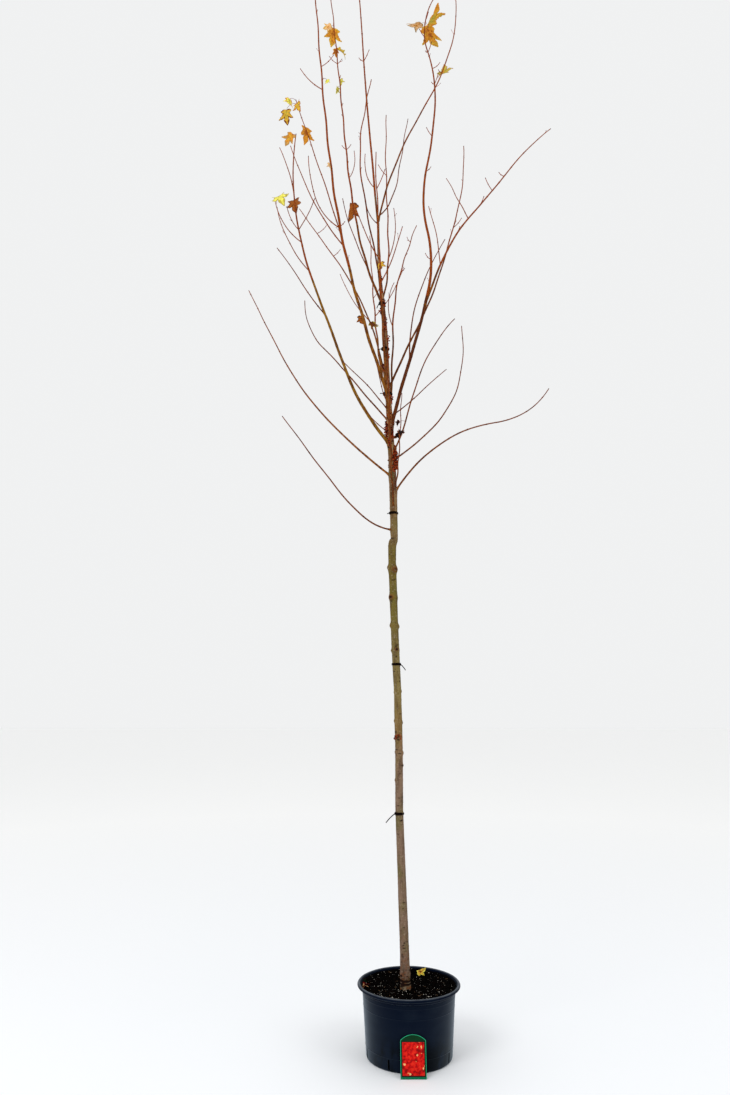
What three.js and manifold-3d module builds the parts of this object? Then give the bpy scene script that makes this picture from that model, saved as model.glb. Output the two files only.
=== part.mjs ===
// A young red maple grown as a standard: a clear stem, a narrow open crown and a round nursery pot.
// It is late autumn, so the crown is bare but for a few leaves near the ends of its shoots.
//
// Units are millimetres with +Z up. The origin is the centre of the pot's flat underside,
// +X is the viewer's right and +Y leads away from the viewer.
// A heading is a compass angle in degrees about +Z: 0 is +X, 90 is +Y, 180 is -X, 270 is -Y.
// A lean is an angle in degrees from straight up. A share runs from 0 at a limb's foot to 1 at its tip.

import * as THREE from 'three';
import { mergeVertices } from 'three/addons/utils/BufferGeometryUtils.js';
import Module from 'manifold-3d';

// Gap between two solids that touch on the real plant
const GAP = 0.3;

// Pot and compost
const POT = {
  height: 290,
  baseRadius: 182,
  baseRound: 7,
  wallTop: 262,
  wallTopRadius: 198,
  rimRadius: 220,
  wall: 3,
  floor: 4,
  segments: 36,
};
// Rim profile from the wall's top outside round to the inside, as pairs: inwards from the rim's radius,
// and up from the wall's top
const RIM_PROFILE = [[14, 4], [12, 12], [1, 16], [0, 22], [5, 28], [12, 27], [17, 12]];
const SLOT = { count: 8, firstHeading: 15, width: 9, depth: 30, bottom: 6, top: 46 };
const SOIL_LEVEL = 250;

// Stem stations from the compost to the foot of the crown's tip: height, shift along X, radius
const STEM_STATIONS = [
  [250, -13, 25],
  [258, -13, 23.5],
  [275, -14, 22.5],
  [330, -15, 21],
  [450, -18, 19.5],
  [1000, -36, 17],
  [1250, -35, 17],
  [1520, -40, 17],
  [1740, -50, 17.3],
  [2100, -61, 17.8],
  [2185, -61, 18.5],
  [2208, -51, 16.4],
  [2400, -54, 18],
  [2600, -60, 17],
  [2930, -77, 12.5],
  [3290, -94, 9.5],
  [3560, -118, 7.4],
  [3800, -122, 5.8],
  [3950, -136, 5],
];
const STEM_SIDES = 8;
// Rings an even step apart, from this height up, fill the stem between its stations
const STEM_STEPS = { from: 450, size: 150, closest: 50 };

// Swollen rings where pairs of side shoots were pruned off the clear stem
const KNOTS = { first: 1146, spacing: 132, count: 8, swell: 2.6, halfHeight: 16 };

// Soft ties left round the stem
const TIES = { heights: [983, 1635, 2335, 2903, 3150, 3358], height: 7, thickness: 2.4, tail: 26,
  tailHeadings: [190, -20, 200, 205, 185, 165], tailLean: 118 };

// Printed card that leans on the pot
const CARD = { width: 104, height: 157, shoulder: 136, thickness: 1.5, shiftX: 6, lean: 11.8 };

// Limbs grow as smooth curves: this is the length of one growth step, and the sway about the curve
const STEP = 20;
const LEAST_STEPS = 4;
const SWAY = { size: 2.5, wave: 230, rootFade: 150 };
const RING_SPACING = 115;
// Share of a bough's foot thickness that lies inside the stem
const FOOT_SINK = 1 / 3;
const SIDES = { bough: 6, stem: 4, twig: 3 };

// Boughs and shoots. "on" and "at" say where each one springs: a height on the stem in millimetres,
// or a share of another bough. "leans" are read evenly from foot to tip. "thick" is the diameter at
// foot and tip. A bough with a "mass" ends at that share, and a mass of twigs goes on from there.
const BOUGHS = [
  { name: 'left_1', on: 'stem', at: 2255, heading: 205, leans: [86, 50, 42, 41, 40],
    length: 735, thick: [7, 3] },
  { name: 'front_1', on: 'stem', at: 2368, heading: 266, leans: [66, 52, 38, 30],
    length: 900, thick: [7.5, 3] },
  { name: 'back_1', on: 'stem', at: 2400, heading: 84, leans: [60, 48, 34, 26],
    length: 1050, thick: [8, 3] },
  { name: 'right_1', on: 'stem', at: 2445, heading: -12, leans: [33, 56, 86, 33],
    length: 870, thick: [8, 3] },
  { name: 'left_2', on: 'stem', at: 2520, heading: 160, leans: [50, 42, 28, 26],
    length: 1320, thick: [9, 3] },
  { name: 'right_2', on: 'stem', at: 2595, heading: 38, leans: [54, 49, 36, 12, -7],
    length: 980, thick: [7, 3] },
  { name: 'right_3', on: 'stem', at: 2630, heading: -40, leans: [33, 18, 33, 60],
    length: 675, thick: [7, 3] },
  { name: 'left_3', on: 'stem', at: 2675, heading: 192, leans: [42, 20, 21, 8, -7], length: 1650,
    thick: [15, 3.5], mass: 0.53 },
  { name: 'front_2', on: 'stem', at: 2700, heading: 262, leans: [44, 28, 20, 14], length: 1250,
    thick: [10, 3], mass: 0.5 },
  { name: 'right_4', on: 'stem', at: 2765, heading: -15, leans: [14, 18, 13, -12, 12, 4, -16, 36],
    length: 2330, thick: [16, 3.5], mass: 0.28 },
  { name: 'left_4', on: 'stem', at: 2790, heading: 140, leans: [42, 40, 44, 4],
    length: 980, thick: [7, 3] },
  { name: 'right_5', on: 'stem', at: 2810, heading: 24, leans: [52, 44, 48], length: 410, thick: [5, 2.5] },
  { name: 'back_2', on: 'stem', at: 2832, heading: 66, leans: [9, 3, 31, 33], length: 1260,
    thick: [9, 3], mass: 0.34 },
  { name: 'left_5', on: 'stem', at: 2840, heading: 222, leans: [53, 66], length: 320, thick: [5, 2.5] },
  { name: 'back_3', on: 'stem', at: 2880, heading: 98, leans: [46, 30, 20, 12], length: 1350,
    thick: [11, 3], mass: 0.45 },
  { name: 'left_6', on: 'stem', at: 2925, heading: 228, leans: [31, 24, 11, 7, 6], length: 2000,
    thick: [15, 3.5], mass: 0.3 },
  { name: 'left_7', on: 'stem', at: 2950, heading: 148, leans: [7, 23, 34, 33], length: 1240,
    thick: [8, 3], mass: 0.6 },
  { name: 'right_6', on: 'stem', at: 2950, heading: 32, leans: [24, 28, 19, 16, -2], length: 1550,
    thick: [10, 3], mass: 0.55 },
  { name: 'left_8', on: 'stem', at: 3385, heading: 128, leans: [29, 15, 8, 8, 9], length: 2080,
    thick: [11, 3.5], mass: 0.27 },
  { name: 'back_4', on: 'stem', at: 3402, heading: 66, turn: 70, leans: [30, 7, -4], length: 1180,
    thick: [8, 3], mass: 0.22 },
  { name: 'front_3', on: 'stem', at: 3525, heading: 245, leans: [30, 27, -16, -19], length: 1070,
    thick: [7, 3], mass: 0.4 },
  { name: 'right_7', on: 'stem', at: 3815, heading: -22, leans: [12, 24, 35, 18, -6], length: 1230,
    thick: [8, 3], mass: 0.5 },
  { name: 'right_8', on: 'stem', at: 3840, heading: 60, leans: [49, 16, 16],
    length: 840, thick: [5.5, 2.5] },
  { name: 'spur_1', on: 'stem', at: 2728, heading: 204, leans: [62, 40], length: 165, thick: [4, 2.2] },
  { name: 'spur_2', on: 'stem', at: 2870, heading: 250, leans: [80, 15], length: 220, thick: [4, 2.2] },
  { name: 'spur_3', on: 'stem', at: 3800, heading: 230, leans: [90, 13], length: 130, thick: [3.5, 2.2] },
  { name: 'right_9', on: 'right_4', at: 0.26, heading: -8, leans: [20, 21, 31, 43, 38, 42, 55],
    length: 1090,
    thick: [10, 3], mass: 0.18 },
  { name: 'right_10', on: 'right_4', at: 0.14, heading: 20, leans: [-2, 19, 30],
    length: 700, thick: [6, 2.5] },
  { name: 'left_9', on: 'left_3', at: 0.42, heading: 165, leans: [38, 30, 36],
    length: 455, thick: [5, 2.5] },
  { name: 'left_10', on: 'left_8', at: 0.12, heading: 215, leans: [35, 16],
    length: 360, thick: [4.5, 2.5] },
];

// The stem's own tip, which carries on above its last station as a mass
const TIP = { name: 'top', on: 'stem', at: 3950, heading: 180, leans: [4, 5, 4, 3, 5, 3], length: 1500,
  thick: [9.6, 3], mass: 0 };

// Long twigs inside the masses, each sprung from its mass's stem
const TWIGS = [
  { name: 'left_3a', on: 'left_3', at: 0.56, heading: 215, leans: [57, 33, 14],
    length: 330, thick: [4, 2.4] },
  { name: 'left_3b', on: 'left_3', at: 0.65, heading: 185, leans: [54, 10], length: 250, thick: [4, 2.4] },
  { name: 'left_3c', on: 'left_3', at: 0.69, heading: 240, leans: [85, 32],
    length: 125, thick: [3.6, 2.4] },
  { name: 'left_3d', on: 'left_3', at: 0.69, heading: -60, leans: [76, 60],
    length: 185, thick: [3.6, 2.4] },
  { name: 'left_3e', on: 'left_3', at: 0.8, heading: 150, leans: [10, 26], length: 300, thick: [4, 2.4] },
  { name: 'left_6a', on: 'left_6', at: 0.31, heading: 200, leans: [15, 20, 20],
    length: 815, thick: [5.5, 2.4] },
  { name: 'left_6b', on: 'left_6', at: 0.35, heading: 190, leans: [41, 26, 18],
    length: 545, thick: [5, 2.4] },
  { name: 'left_6c', on: 'left_6', at: 0.39, heading: 165, leans: [53, 17, 2],
    length: 440, thick: [4.5, 2.4] },
  { name: 'left_6d', on: 'left_6', at: 0.72, heading: 150, leans: [49, 28],
    length: 200, thick: [3.6, 2.4] },
  { name: 'left_8a', on: 'left_8', at: 0.41, heading: 60, leans: [42, -10],
    length: 200, thick: [3.6, 2.4] },
  { name: 'back_4a', on: 'back_4', at: 0.26, heading: 20, leans: [23, 6, -9],
    length: 290, thick: [4, 2.4] },
  { name: 'back_2a', on: 'back_2', at: 0.36, heading: 200, leans: [24, -28],
    length: 240, thick: [3.6, 2.4] },
  { name: 'right_9a', on: 'right_9', at: 0.45, heading: 110, leans: [33, 33],
    length: 420, thick: [4.5, 2.4] },
  { name: 'right_9b', on: 'right_9', at: 0.2, heading: 230, leans: [6, 30], length: 280, thick: [4, 2.4] },
  { name: 'back_3a', on: 'back_3', at: 0.5, heading: 150, leans: [44, 20], length: 420, thick: [5, 2.4] },
  { name: 'back_3b', on: 'back_3', at: 0.56, heading: 30, leans: [40, 18], length: 380, thick: [4.5, 2.4] },
  { name: 'front_2a', on: 'front_2', at: 0.56, heading: 320, leans: [40, 18],
    length: 260, thick: [4.5, 2.4] },
  { name: 'front_2b', on: 'front_2', at: 0.64, heading: 215, leans: [44, 20],
    length: 240, thick: [4, 2.4] },
  { name: 'top_a', on: 'top', at: 0.03, heading: 170, leans: [42, 10, -5], length: 200, thick: [4, 2.4] },
];

// Seeded side twigs: opposite pairs at every node of a mass's stem, each pair turned across the last
const SIDE_TWIG = { nodeSpacing: 95, chance: 0.22, shortest: 30, longest: 85, leans: [56, 28],
  thick: [2.8, 2], clearance: 14, seed: 41 };

// The last leaves: where each stalk springs, its heading, the droop and roll of the blade, and its length
const LEAVES = [
  { on: 'left_8', at: 0.925, heading: 95, droop: 55, roll: 35, size: 110 },
  { on: 'left_8', at: 0.84, heading: 40, droop: 85, roll: -50, size: 80 },
  { on: 'left_8', at: 0.73, heading: 55, droop: 50, roll: 15, size: 45 },
  { on: 'left_6', at: 0.735, heading: 30, droop: -25, roll: -10, size: 35 },
  { on: 'left_6a', at: 0.995, heading: 170, droop: 25, roll: -85, size: 50 },
  { on: 'left_6a', at: 0.975, heading: 275, droop: 70, roll: -60, size: 45 },
  { on: 'left_6a', at: 0.94, heading: 175, droop: 50, roll: -15, size: 90 },
  { on: 'left_6a', at: 0.88, heading: 65, droop: 80, roll: -75, size: 85 },
  { on: 'left_3', at: 0.985, heading: 215, droop: 40, roll: 65, size: 60 },
  { on: 'left_3b', at: 0.905, heading: 75, droop: -70, roll: -15, size: 85 },
  { on: 'left_3', at: 0.795, heading: 95, droop: 45, roll: 25, size: 70 },
  { on: 'left_8', at: 0.34, heading: 85, droop: 65, roll: 55, size: 90 },
  { on: 'left_6', at: 0.53, heading: 170, droop: -40, roll: 45, size: 35 },
  { on: 'right_4', at: 0.93, heading: 70, droop: 30, roll: -35, size: 115 },
  { on: 'right_4', at: 0.91, heading: 235, droop: 45, roll: -50, size: 90 },
  { on: 'right_4', at: 0.985, heading: 80, droop: 35, roll: -5, size: 105 },
  { on: 'right_7', at: 0.71, heading: 95, droop: 65, roll: 65, size: 80 },
];
const LEAF_THICKNESS = 1.2;
const STALK = { share: 0.4, thick: [2.4, 2.4], firstLean: 50, sunk: 6 };

// Half outline of a five-lobed blade of length 1, from the stalk's end to the tip
const BLADE_HALF = [[0.05, -0.05], [0.36, 0.1], [0.22, 0.27], [0.5, 0.6], [0.18, 0.56]];

const MATERIALS = {
  pot: new THREE.MeshStandardMaterial({ color: 0x1b2330, roughness: 0.45 }),
  soil: new THREE.MeshStandardMaterial({ color: 0x1c140f, roughness: 1 }),
  bark: new THREE.MeshStandardMaterial({ color: 0x7a6a52, roughness: 0.85 }),
  bough: new THREE.MeshStandardMaterial({ color: 0x7a4a26, roughness: 0.7 }),
  twig: new THREE.MeshStandardMaterial({ color: 0x6b3024, roughness: 0.65 }),
  tie: new THREE.MeshStandardMaterial({ color: 0x0c0c0d, roughness: 0.5 }),
  card: new THREE.MeshStandardMaterial({ color: 0xb8341c, roughness: 0.3 }),
};

const UP = new THREE.Vector3(0, 0, 1);
const wasm = await Module();
wasm.setup();

const mix = (a, b, share) => a + (b - a) * share;
const radians = THREE.MathUtils.degToRad;

// A value read from an evenly spaced list
function readList(list, share) {
  const place = THREE.MathUtils.clamp(share, 0, 1) * (list.length - 1);
  const index = Math.min(Math.floor(place), list.length - 2);
  return mix(list[index], list[index + 1], place - index);
}

// A generator of even random numbers from 0 to 1, the same for the same seed
function seededRandom(seed) {
  let state = seed;
  return () => {
    state = (state * 1664525 + 1013904223) % 4294967296;
    return state / 4294967296;
  };
}

function headingVector(heading, lean) {
  const outwards = Math.sin(radians(lean));
  return new THREE.Vector3(
    outwards * Math.cos(radians(heading)),
    outwards * Math.sin(radians(heading)),
    Math.cos(radians(lean)),
  );
}

// Solids and geometry

function solidFrom(geometry) {
  const bare = new THREE.BufferGeometry();
  bare.setAttribute('position', geometry.getAttribute('position'));
  bare.setIndex(geometry.index);
  const merged = mergeVertices(bare, 1e-3);
  const mesh = new wasm.Mesh({
    numProp: 3,
    vertProperties: merged.attributes.position.array,
    triVerts: new Uint32Array(merged.index.array),
  });
  return new wasm.Manifold(mesh);
}

function geometryFrom(solid) {
  const mesh = solid.getMesh();
  const geometry = new THREE.BufferGeometry();
  geometry.setAttribute('position', new THREE.BufferAttribute(mesh.vertProperties, 3));
  geometry.setIndex(new THREE.BufferAttribute(mesh.triVerts, 1));
  geometry.computeVertexNormals();
  return geometry;
}

// The largest body of a solid, without scraps that a cut left behind
function mainBody(solid) {
  const bodies = solid.decompose();
  return bodies.reduce((best, body) => (body.volume() > best.volume() ? body : best));
}

// A closed tube through rings that each have a centre, a radius and the direction they face along.
// From ring to ring the tube turns about its own line as little as possible.
function tubeGeometry(rings, sides) {
  const geometry = new THREE.CylinderGeometry(1, 1, 1, sides, rings.length - 1);
  const position = geometry.attributes.position;
  const point = new THREE.Vector3();
  let across = new THREE.Vector3(1, 0, 0);
  const frames = rings.map(({ along }) => {
    across = across.clone().addScaledVector(along, -across.dot(along)).normalize();
    return { across, other: new THREE.Vector3().crossVectors(across, along) };
  });
  for (let i = 0; i < position.count; i += 1) {
    const ring = Math.round((position.getY(i) + 0.5) * (rings.length - 1));
    point.copy(rings[ring].centre);
    point.addScaledVector(frames[ring].across, position.getX(i) * rings[ring].radius);
    point.addScaledVector(frames[ring].other, position.getZ(i) * rings[ring].radius);
    position.setXYZ(i, point.x, point.y, point.z);
  }
  return geometry;
}

// Lines and places

function stemAt(height) {
  const last = STEM_STATIONS.length - 1;
  let i = 0;
  while (i < last - 1 && STEM_STATIONS[i + 1][0] < height) i += 1;
  const [low, lowShift, lowRadius] = STEM_STATIONS[i];
  const [high, highShift, highRadius] = STEM_STATIONS[i + 1];
  const share = THREE.MathUtils.clamp((height - low) / (high - low), 0, 1);
  return {
    centre: new THREE.Vector3(mix(lowShift, highShift, share), 0, height),
    radius: mix(lowRadius, highRadius, share),
  };
}

// Points of a growing limb, one growth step apart
function growLine(limb, foot) {
  const steps = Math.max(LEAST_STEPS, Math.round(limb.length / STEP));
  const step = limb.length / steps;
  const points = [foot.clone()];
  const spine = foot.clone();
  for (let i = 0; i < steps; i += 1) {
    const share = (i + 0.5) / steps;
    const heading = limb.heading + (limb.turn ?? 0) * share;
    spine.addScaledVector(headingVector(heading, readList(limb.leans, share)), step);
    const distance = (i + 1) * step;
    const fade = Math.min(1, distance / SWAY.rootFade) * SWAY.size;
    const phase = (2 * Math.PI * distance) / SWAY.wave + radians(limb.heading);
    const sideways = headingVector(heading + 90, 90);
    points.push(spine.clone().addScaledVector(sideways, fade * Math.sin(phase)));
  }
  return points;
}

function pointOn(points, share) {
  const place = THREE.MathUtils.clamp(share, 0, 1) * (points.length - 1);
  const index = Math.min(Math.floor(place), points.length - 2);
  return points[index].clone().lerp(points[index + 1], place - index);
}

function directionOn(points, share) {
  const reach = 1 / (points.length - 1);
  return pointOn(points, share + reach).sub(pointOn(points, share - reach)).normalize();
}

// How many straight runs a stretch of a limb is made of
function runCount(limb, from, to) {
  return Math.max(1, Math.round((limb.length * (to - from)) / RING_SPACING));
}

// The stretch of a limb between two shares as a solid. "grow" thickens it, and "seam" holds its foot back.
function limbSolid(limb, from, to, sides, { grow = 0, seam = 0 } = {}) {
  const count = runCount(limb, from, to);
  const rings = [];
  for (let i = 0; i <= count; i += 1) {
    const share = mix(from, to, i / count);
    const along = directionOn(limb.line, share);
    const centre = pointOn(limb.line, share).addScaledVector(along, i === 0 ? seam : 0);
    rings.push({ centre, along, radius: mix(limb.thick[0], limb.thick[1], share) / 2 + grow });
  }
  return solidFrom(tubeGeometry(rings, sides));
}

// The middle of a twig or mass stem at a share of its length, on the straight runs of its solid
function springPoint(limb, share) {
  const from = limb.mass ?? 0;
  const count = runCount(limb, from, 1);
  const place = THREE.MathUtils.clamp((share - from) / (1 - from), 0, 1) * count;
  const run = Math.min(Math.floor(place), count - 1);
  const [start, end] = [run, run + 1].map((i) => pointOn(limb.line, mix(from, 1, i / count)));
  return start.lerp(end, place - run);
}

// The room that a limb takes up with the gap round it, for its side boughs to be cut to
function limbRoom(limb) {
  const bough = limbSolid(limb, 0, limb.mass, SIDES.bough, { grow: GAP });
  return bough.add(limbSolid(limb, limb.mass, 1, SIDES.stem, { grow: GAP }));
}

// Pot, compost, stem, ties and card

function lathe(profile) {
  const points = profile.map(([radius, height]) => new THREE.Vector2(radius, height));
  return new THREE.LatheGeometry(points, POT.segments).rotateX(Math.PI / 2);
}

function wallRadius(height) {
  return mix(POT.baseRadius, POT.wallTopRadius, height / POT.wallTop);
}

function potSolid() {
  const inside = (height) => wallRadius(height) - POT.wall;
  const body = solidFrom(lathe([
    [0, 0],
    [POT.baseRadius - POT.baseRound, 0],
    [POT.baseRadius, POT.baseRound],
    [POT.wallTopRadius, POT.wallTop],
    ...RIM_PROFILE.map(([inwards, up]) => [POT.rimRadius - inwards, POT.wallTop + up]),
    [inside(POT.wallTop - POT.baseRound), POT.wallTop - POT.baseRound],
    [inside(POT.floor), POT.floor],
    [0, POT.floor],
  ]));
  const slots = [];
  for (let i = 0; i < SLOT.count; i += 1) {
    const height = SLOT.top - SLOT.bottom;
    const slot = new THREE.BoxGeometry(SLOT.depth, SLOT.width, height);
    slot.translate(wallRadius(SLOT.bottom), 0, SLOT.bottom + height / 2);
    slot.rotateZ(radians(SLOT.firstHeading + (360 / SLOT.count) * i));
    slots.push(solidFrom(slot));
  }
  return wasm.Manifold.difference([body, ...slots]);
}

function soilGeometry() {
  const inside = (height) => wallRadius(height) - POT.wall - GAP;
  const bottom = POT.floor + GAP;
  return lathe([[0, bottom], [inside(bottom), bottom], [inside(SOIL_LEVEL), SOIL_LEVEL], [0, SOIL_LEVEL]]);
}

function knotHeights() {
  return Array.from({ length: KNOTS.count }, (_, i) => KNOTS.first + KNOTS.spacing * i);
}

// Heights of the stem's rings: its stations, an even spacing between them, and three to each knot
function stemHeights() {
  const heights = STEM_STATIONS.map(([height]) => height);
  const knots = knotHeights().flatMap((knot) => [knot - KNOTS.halfHeight, knot, knot + KNOTS.halfHeight]);
  const top = heights.at(-1);
  const all = [...heights, ...knots];
  for (let height = STEM_STEPS.from; height < top; height += STEM_STEPS.size) {
    if (all.every((other) => Math.abs(other - height) > STEM_STEPS.closest)) all.push(height);
  }
  return all.sort((a, b) => a - b);
}

// The stem, or with "grow" the room it takes up with the gap round it
function stemSolid(grow = 0) {
  const knots = knotHeights();
  const rings = stemHeights().map((height) => {
    const { centre, radius } = stemAt(height);
    return { centre, along: UP, radius: radius + grow + (knots.includes(height) ? KNOTS.swell : 0) };
  });
  rings[0].centre.z += GAP;
  return solidFrom(tubeGeometry(rings, STEM_SIDES));
}

function tieSolid(height, index, stemRoom) {
  const { centre, radius } = stemAt(height);
  const outer = radius + GAP + TIES.thickness;
  const bandRings = [-1, 1].map((end) => ({
    centre: centre.clone().addScaledVector(UP, (end * TIES.height) / 2),
    along: UP,
    radius: outer,
  }));
  const along = headingVector(TIES.tailHeadings[index], TIES.tailLean);
  const tailRings = [-TIES.thickness, TIES.tail].map((distance) => ({
    centre: centre.clone().addScaledVector(headingVector(TIES.tailHeadings[index], 90), outer)
      .addScaledVector(along, distance),
    along,
    radius: TIES.thickness / 2,
  }));
  const band = solidFrom(tubeGeometry(bandRings, STEM_SIDES));
  return mainBody(band.add(solidFrom(tubeGeometry(tailRings, SIDES.twig))).subtract(stemRoom));
}

function cardGeometry() {
  const half = CARD.width / 2;
  const rise = CARD.height - CARD.shoulder;
  const radius = (half * half + rise * rise) / (2 * rise);
  const halfAngle = Math.asin(half / radius);
  const outline = new THREE.Shape();
  outline.moveTo(-half, 0);
  outline.lineTo(half, 0);
  outline.lineTo(half, CARD.shoulder);
  outline.absarc(0, CARD.height - radius, radius, Math.PI / 2 - halfAngle, Math.PI / 2 + halfAngle, false);
  outline.lineTo(-half, 0);
  const settings = { depth: CARD.thickness, bevelEnabled: false, curveSegments: 10 };
  return new THREE.ExtrudeGeometry(outline, settings);
}

// Crown

function growCrown() {
  const limbs = new Map();
  for (const limb of [...BOUGHS, TIP, ...TWIGS]) {
    limbs.set(limb.name, { ...limb, line: growLine(limb, footOf(limb, limbs)) });
  }
  return limbs;
}

function footOf(limb, limbs) {
  if (TWIGS.includes(limb)) return springPoint(limbs.get(limb.on), limb.at);
  if (limb.on !== 'stem') return pointOn(limbs.get(limb.on).line, limb.at);
  const { centre, radius } = stemAt(limb.at);
  if (limb === TIP) return centre.add(new THREE.Vector3(0, 0, GAP));
  return centre.addScaledVector(headingVector(limb.heading, 90), radius - limb.thick[0] * FOOT_SINK);
}

// Short side twigs on a mass's stem. One that comes near another limb is skipped.
function sideTwigs(limb, index, limbs) {
  const random = seededRandom(SIDE_TWIG.seed + index);
  const twigs = [];
  const first = limb.mass * limb.length + SIDE_TWIG.nodeSpacing;
  const nodes = Math.floor((limb.length - first) / SIDE_TWIG.nodeSpacing);
  for (let node = 0; node < nodes; node += 1) {
    const at = (first + node * SIDE_TWIG.nodeSpacing) / limb.length;
    for (const side of [0, 180]) {
      const kept = random() < SIDE_TWIG.chance;
      const length = mix(SIDE_TWIG.shortest, SIDE_TWIG.longest, random());
      const heading = limb.heading + 45 + 90 * (node % 2) + side;
      const twig = { name: limb.name, on: limb.name, at, heading, leans: SIDE_TWIG.leans, length,
        thick: SIDE_TWIG.thick };
      twig.line = growLine(twig, springPoint(limb, at));
      if (kept && isClear(twig, limbs)) twigs.push(twig);
    }
  }
  return twigs;
}

function isClear(twig, limbs) {
  const outer = twig.line.slice(1);
  return [...limbs.values()].every((limb) => limb.name === twig.name
    || outer.every((point) => limb.line.every((other) => point.distanceTo(other) > SIDE_TWIG.clearance)));
}

function bladeGeometry(size) {
  const right = BLADE_HALF.map(([x, y]) => new THREE.Vector2(x * size, y * size));
  const left = BLADE_HALF.map(([x, y]) => new THREE.Vector2(-x * size, y * size)).reverse();
  const outline = new THREE.Shape([...right, new THREE.Vector2(0, size), ...left]);
  const blade = new THREE.ExtrudeGeometry(outline, { depth: LEAF_THICKNESS, bevelEnabled: false });
  return blade.translate(0, 0, -LEAF_THICKNESS / 2);
}

// A stalk that arches over and the blade that hangs from its end
function leafSolids(leaf, limb) {
  const length = leaf.size * STALK.share;
  const leans = [STALK.firstLean, 90 + leaf.droop];
  const stalk = { heading: leaf.heading, leans, length, thick: STALK.thick };
  stalk.line = growLine(stalk, springPoint(limb, leaf.at));
  const along = headingVector(leaf.heading, 90 + leaf.droop);
  const level = headingVector(leaf.heading + 90, 90);
  const across = level.applyAxisAngle(along, radians(leaf.roll));
  const face = new THREE.Vector3().crossVectors(across, along);
  const end = stalk.line.at(-1).clone().addScaledVector(along, -STALK.sunk);
  const place = new THREE.Matrix4().makeBasis(across, along, face).setPosition(end);
  return [limbSolid(stalk, 0, 1, SIDES.twig), solidFrom(bladeGeometry(leaf.size).applyMatrix4(place))];
}

function boughSolid(limb, limbs, stemRoom) {
  const solid = limbSolid(limb, 0, limb.mass ?? 1, SIDES.bough);
  const parent = limbs.get(limb.on);
  const room = parent ? limbRoom(parent) : stemRoom;
  return mainBody(solid.subtract(room));
}

function massSolid(limb, index, limbs) {
  const pieces = [limbSolid(limb, limb.mass, 1, SIDES.stem, { seam: GAP })];
  const longTwigs = TWIGS.filter((twig) => twig.on === limb.name).map((twig) => limbs.get(twig.name));
  for (const twig of longTwigs) pieces.push(limbSolid(twig, 0, 1, SIDES.twig));
  for (const twig of sideTwigs(limb, index, limbs)) pieces.push(limbSolid(twig, 0, 1, SIDES.twig));
  for (const leaf of LEAVES) {
    const carrier = [limb, ...longTwigs].find((member) => member.name === leaf.on);
    if (carrier) pieces.push(...leafSolids(leaf, carrier));
  }
  return mainBody(wasm.Manifold.union(pieces));
}

// Assembly

function addPart(group, name, geometry, material, place = new THREE.Vector3()) {
  const mesh = new THREE.Mesh(geometry.translate(-place.x, -place.y, -place.z), material);
  mesh.name = name;
  mesh.position.copy(place);
  group.add(mesh);
}

function addPot(group) {
  addPart(group, 'pot', geometryFrom(potSolid()), MATERIALS.pot);
  addPart(group, 'compost', soilGeometry(), MATERIALS.soil);
}

function addCard(group) {
  const lean = radians(CARD.lean);
  const reach = CARD.height * Math.sin(lean);
  const touch = wallRadius(CARD.height * Math.cos(lean)) + GAP;
  const holder = new THREE.Group();
  const card = new THREE.Mesh(cardGeometry(), MATERIALS.card);
  card.name = 'card';
  card.rotation.x = Math.PI / 2 - lean;
  holder.position.set(CARD.shiftX, -touch - reach, CARD.thickness * Math.sin(lean));
  holder.add(card);
  group.add(holder);
}

function addStem(group, stemRoom) {
  addPart(group, 'stem', geometryFrom(stemSolid()), MATERIALS.bark, stemAt(SOIL_LEVEL).centre);
  TIES.heights.forEach((height, i) => {
    const geometry = geometryFrom(tieSolid(height, i, stemRoom));
    addPart(group, `tie_${i + 1}`, geometry, MATERIALS.tie, stemAt(height).centre);
  });
}

function addCrown(group, stemRoom) {
  const limbs = growCrown();
  for (const { name } of BOUGHS) {
    const limb = limbs.get(name);
    const geometry = geometryFrom(boughSolid(limb, limbs, stemRoom));
    addPart(group, `bough_${name}`, geometry, MATERIALS.bough, limb.line[0]);
  }
  const carriers = [...BOUGHS, TIP].filter((limb) => limb.mass !== undefined);
  carriers.forEach(({ name }, i) => {
    const limb = limbs.get(name);
    const geometry = geometryFrom(massSolid(limb, i, limbs));
    addPart(group, `twigs_${name}`, geometry, MATERIALS.twig, pointOn(limb.line, limb.mass));
  });
}

const tree = new THREE.Group();
const stemRoom = stemSolid(GAP);
addPot(tree);
addCard(tree);
addStem(tree, stemRoom);
addCrown(tree, stemRoom);

export default tree;
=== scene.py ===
"""A young red maple in a nursery pot, grown as a standard: a clear stem and a narrow open crown.

It is late autumn, so the crown is bare but for a few leaves near the ends of its shoots.

Units are metres with +Z up. The origin is the centre of the pot's flat underside, +X is the viewer's
right and +Y leads away from the viewer. A heading is a compass angle in degrees about +Z: 0 is +X,
90 is +Y, 180 is -X, 270 is -Y. A lean is an angle in degrees from straight up. A share runs from 0
at a limb's foot to 1 at its tip.
"""

import math
from typing import NamedTuple

import bpy
import numpy as np
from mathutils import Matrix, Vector, noise


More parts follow.
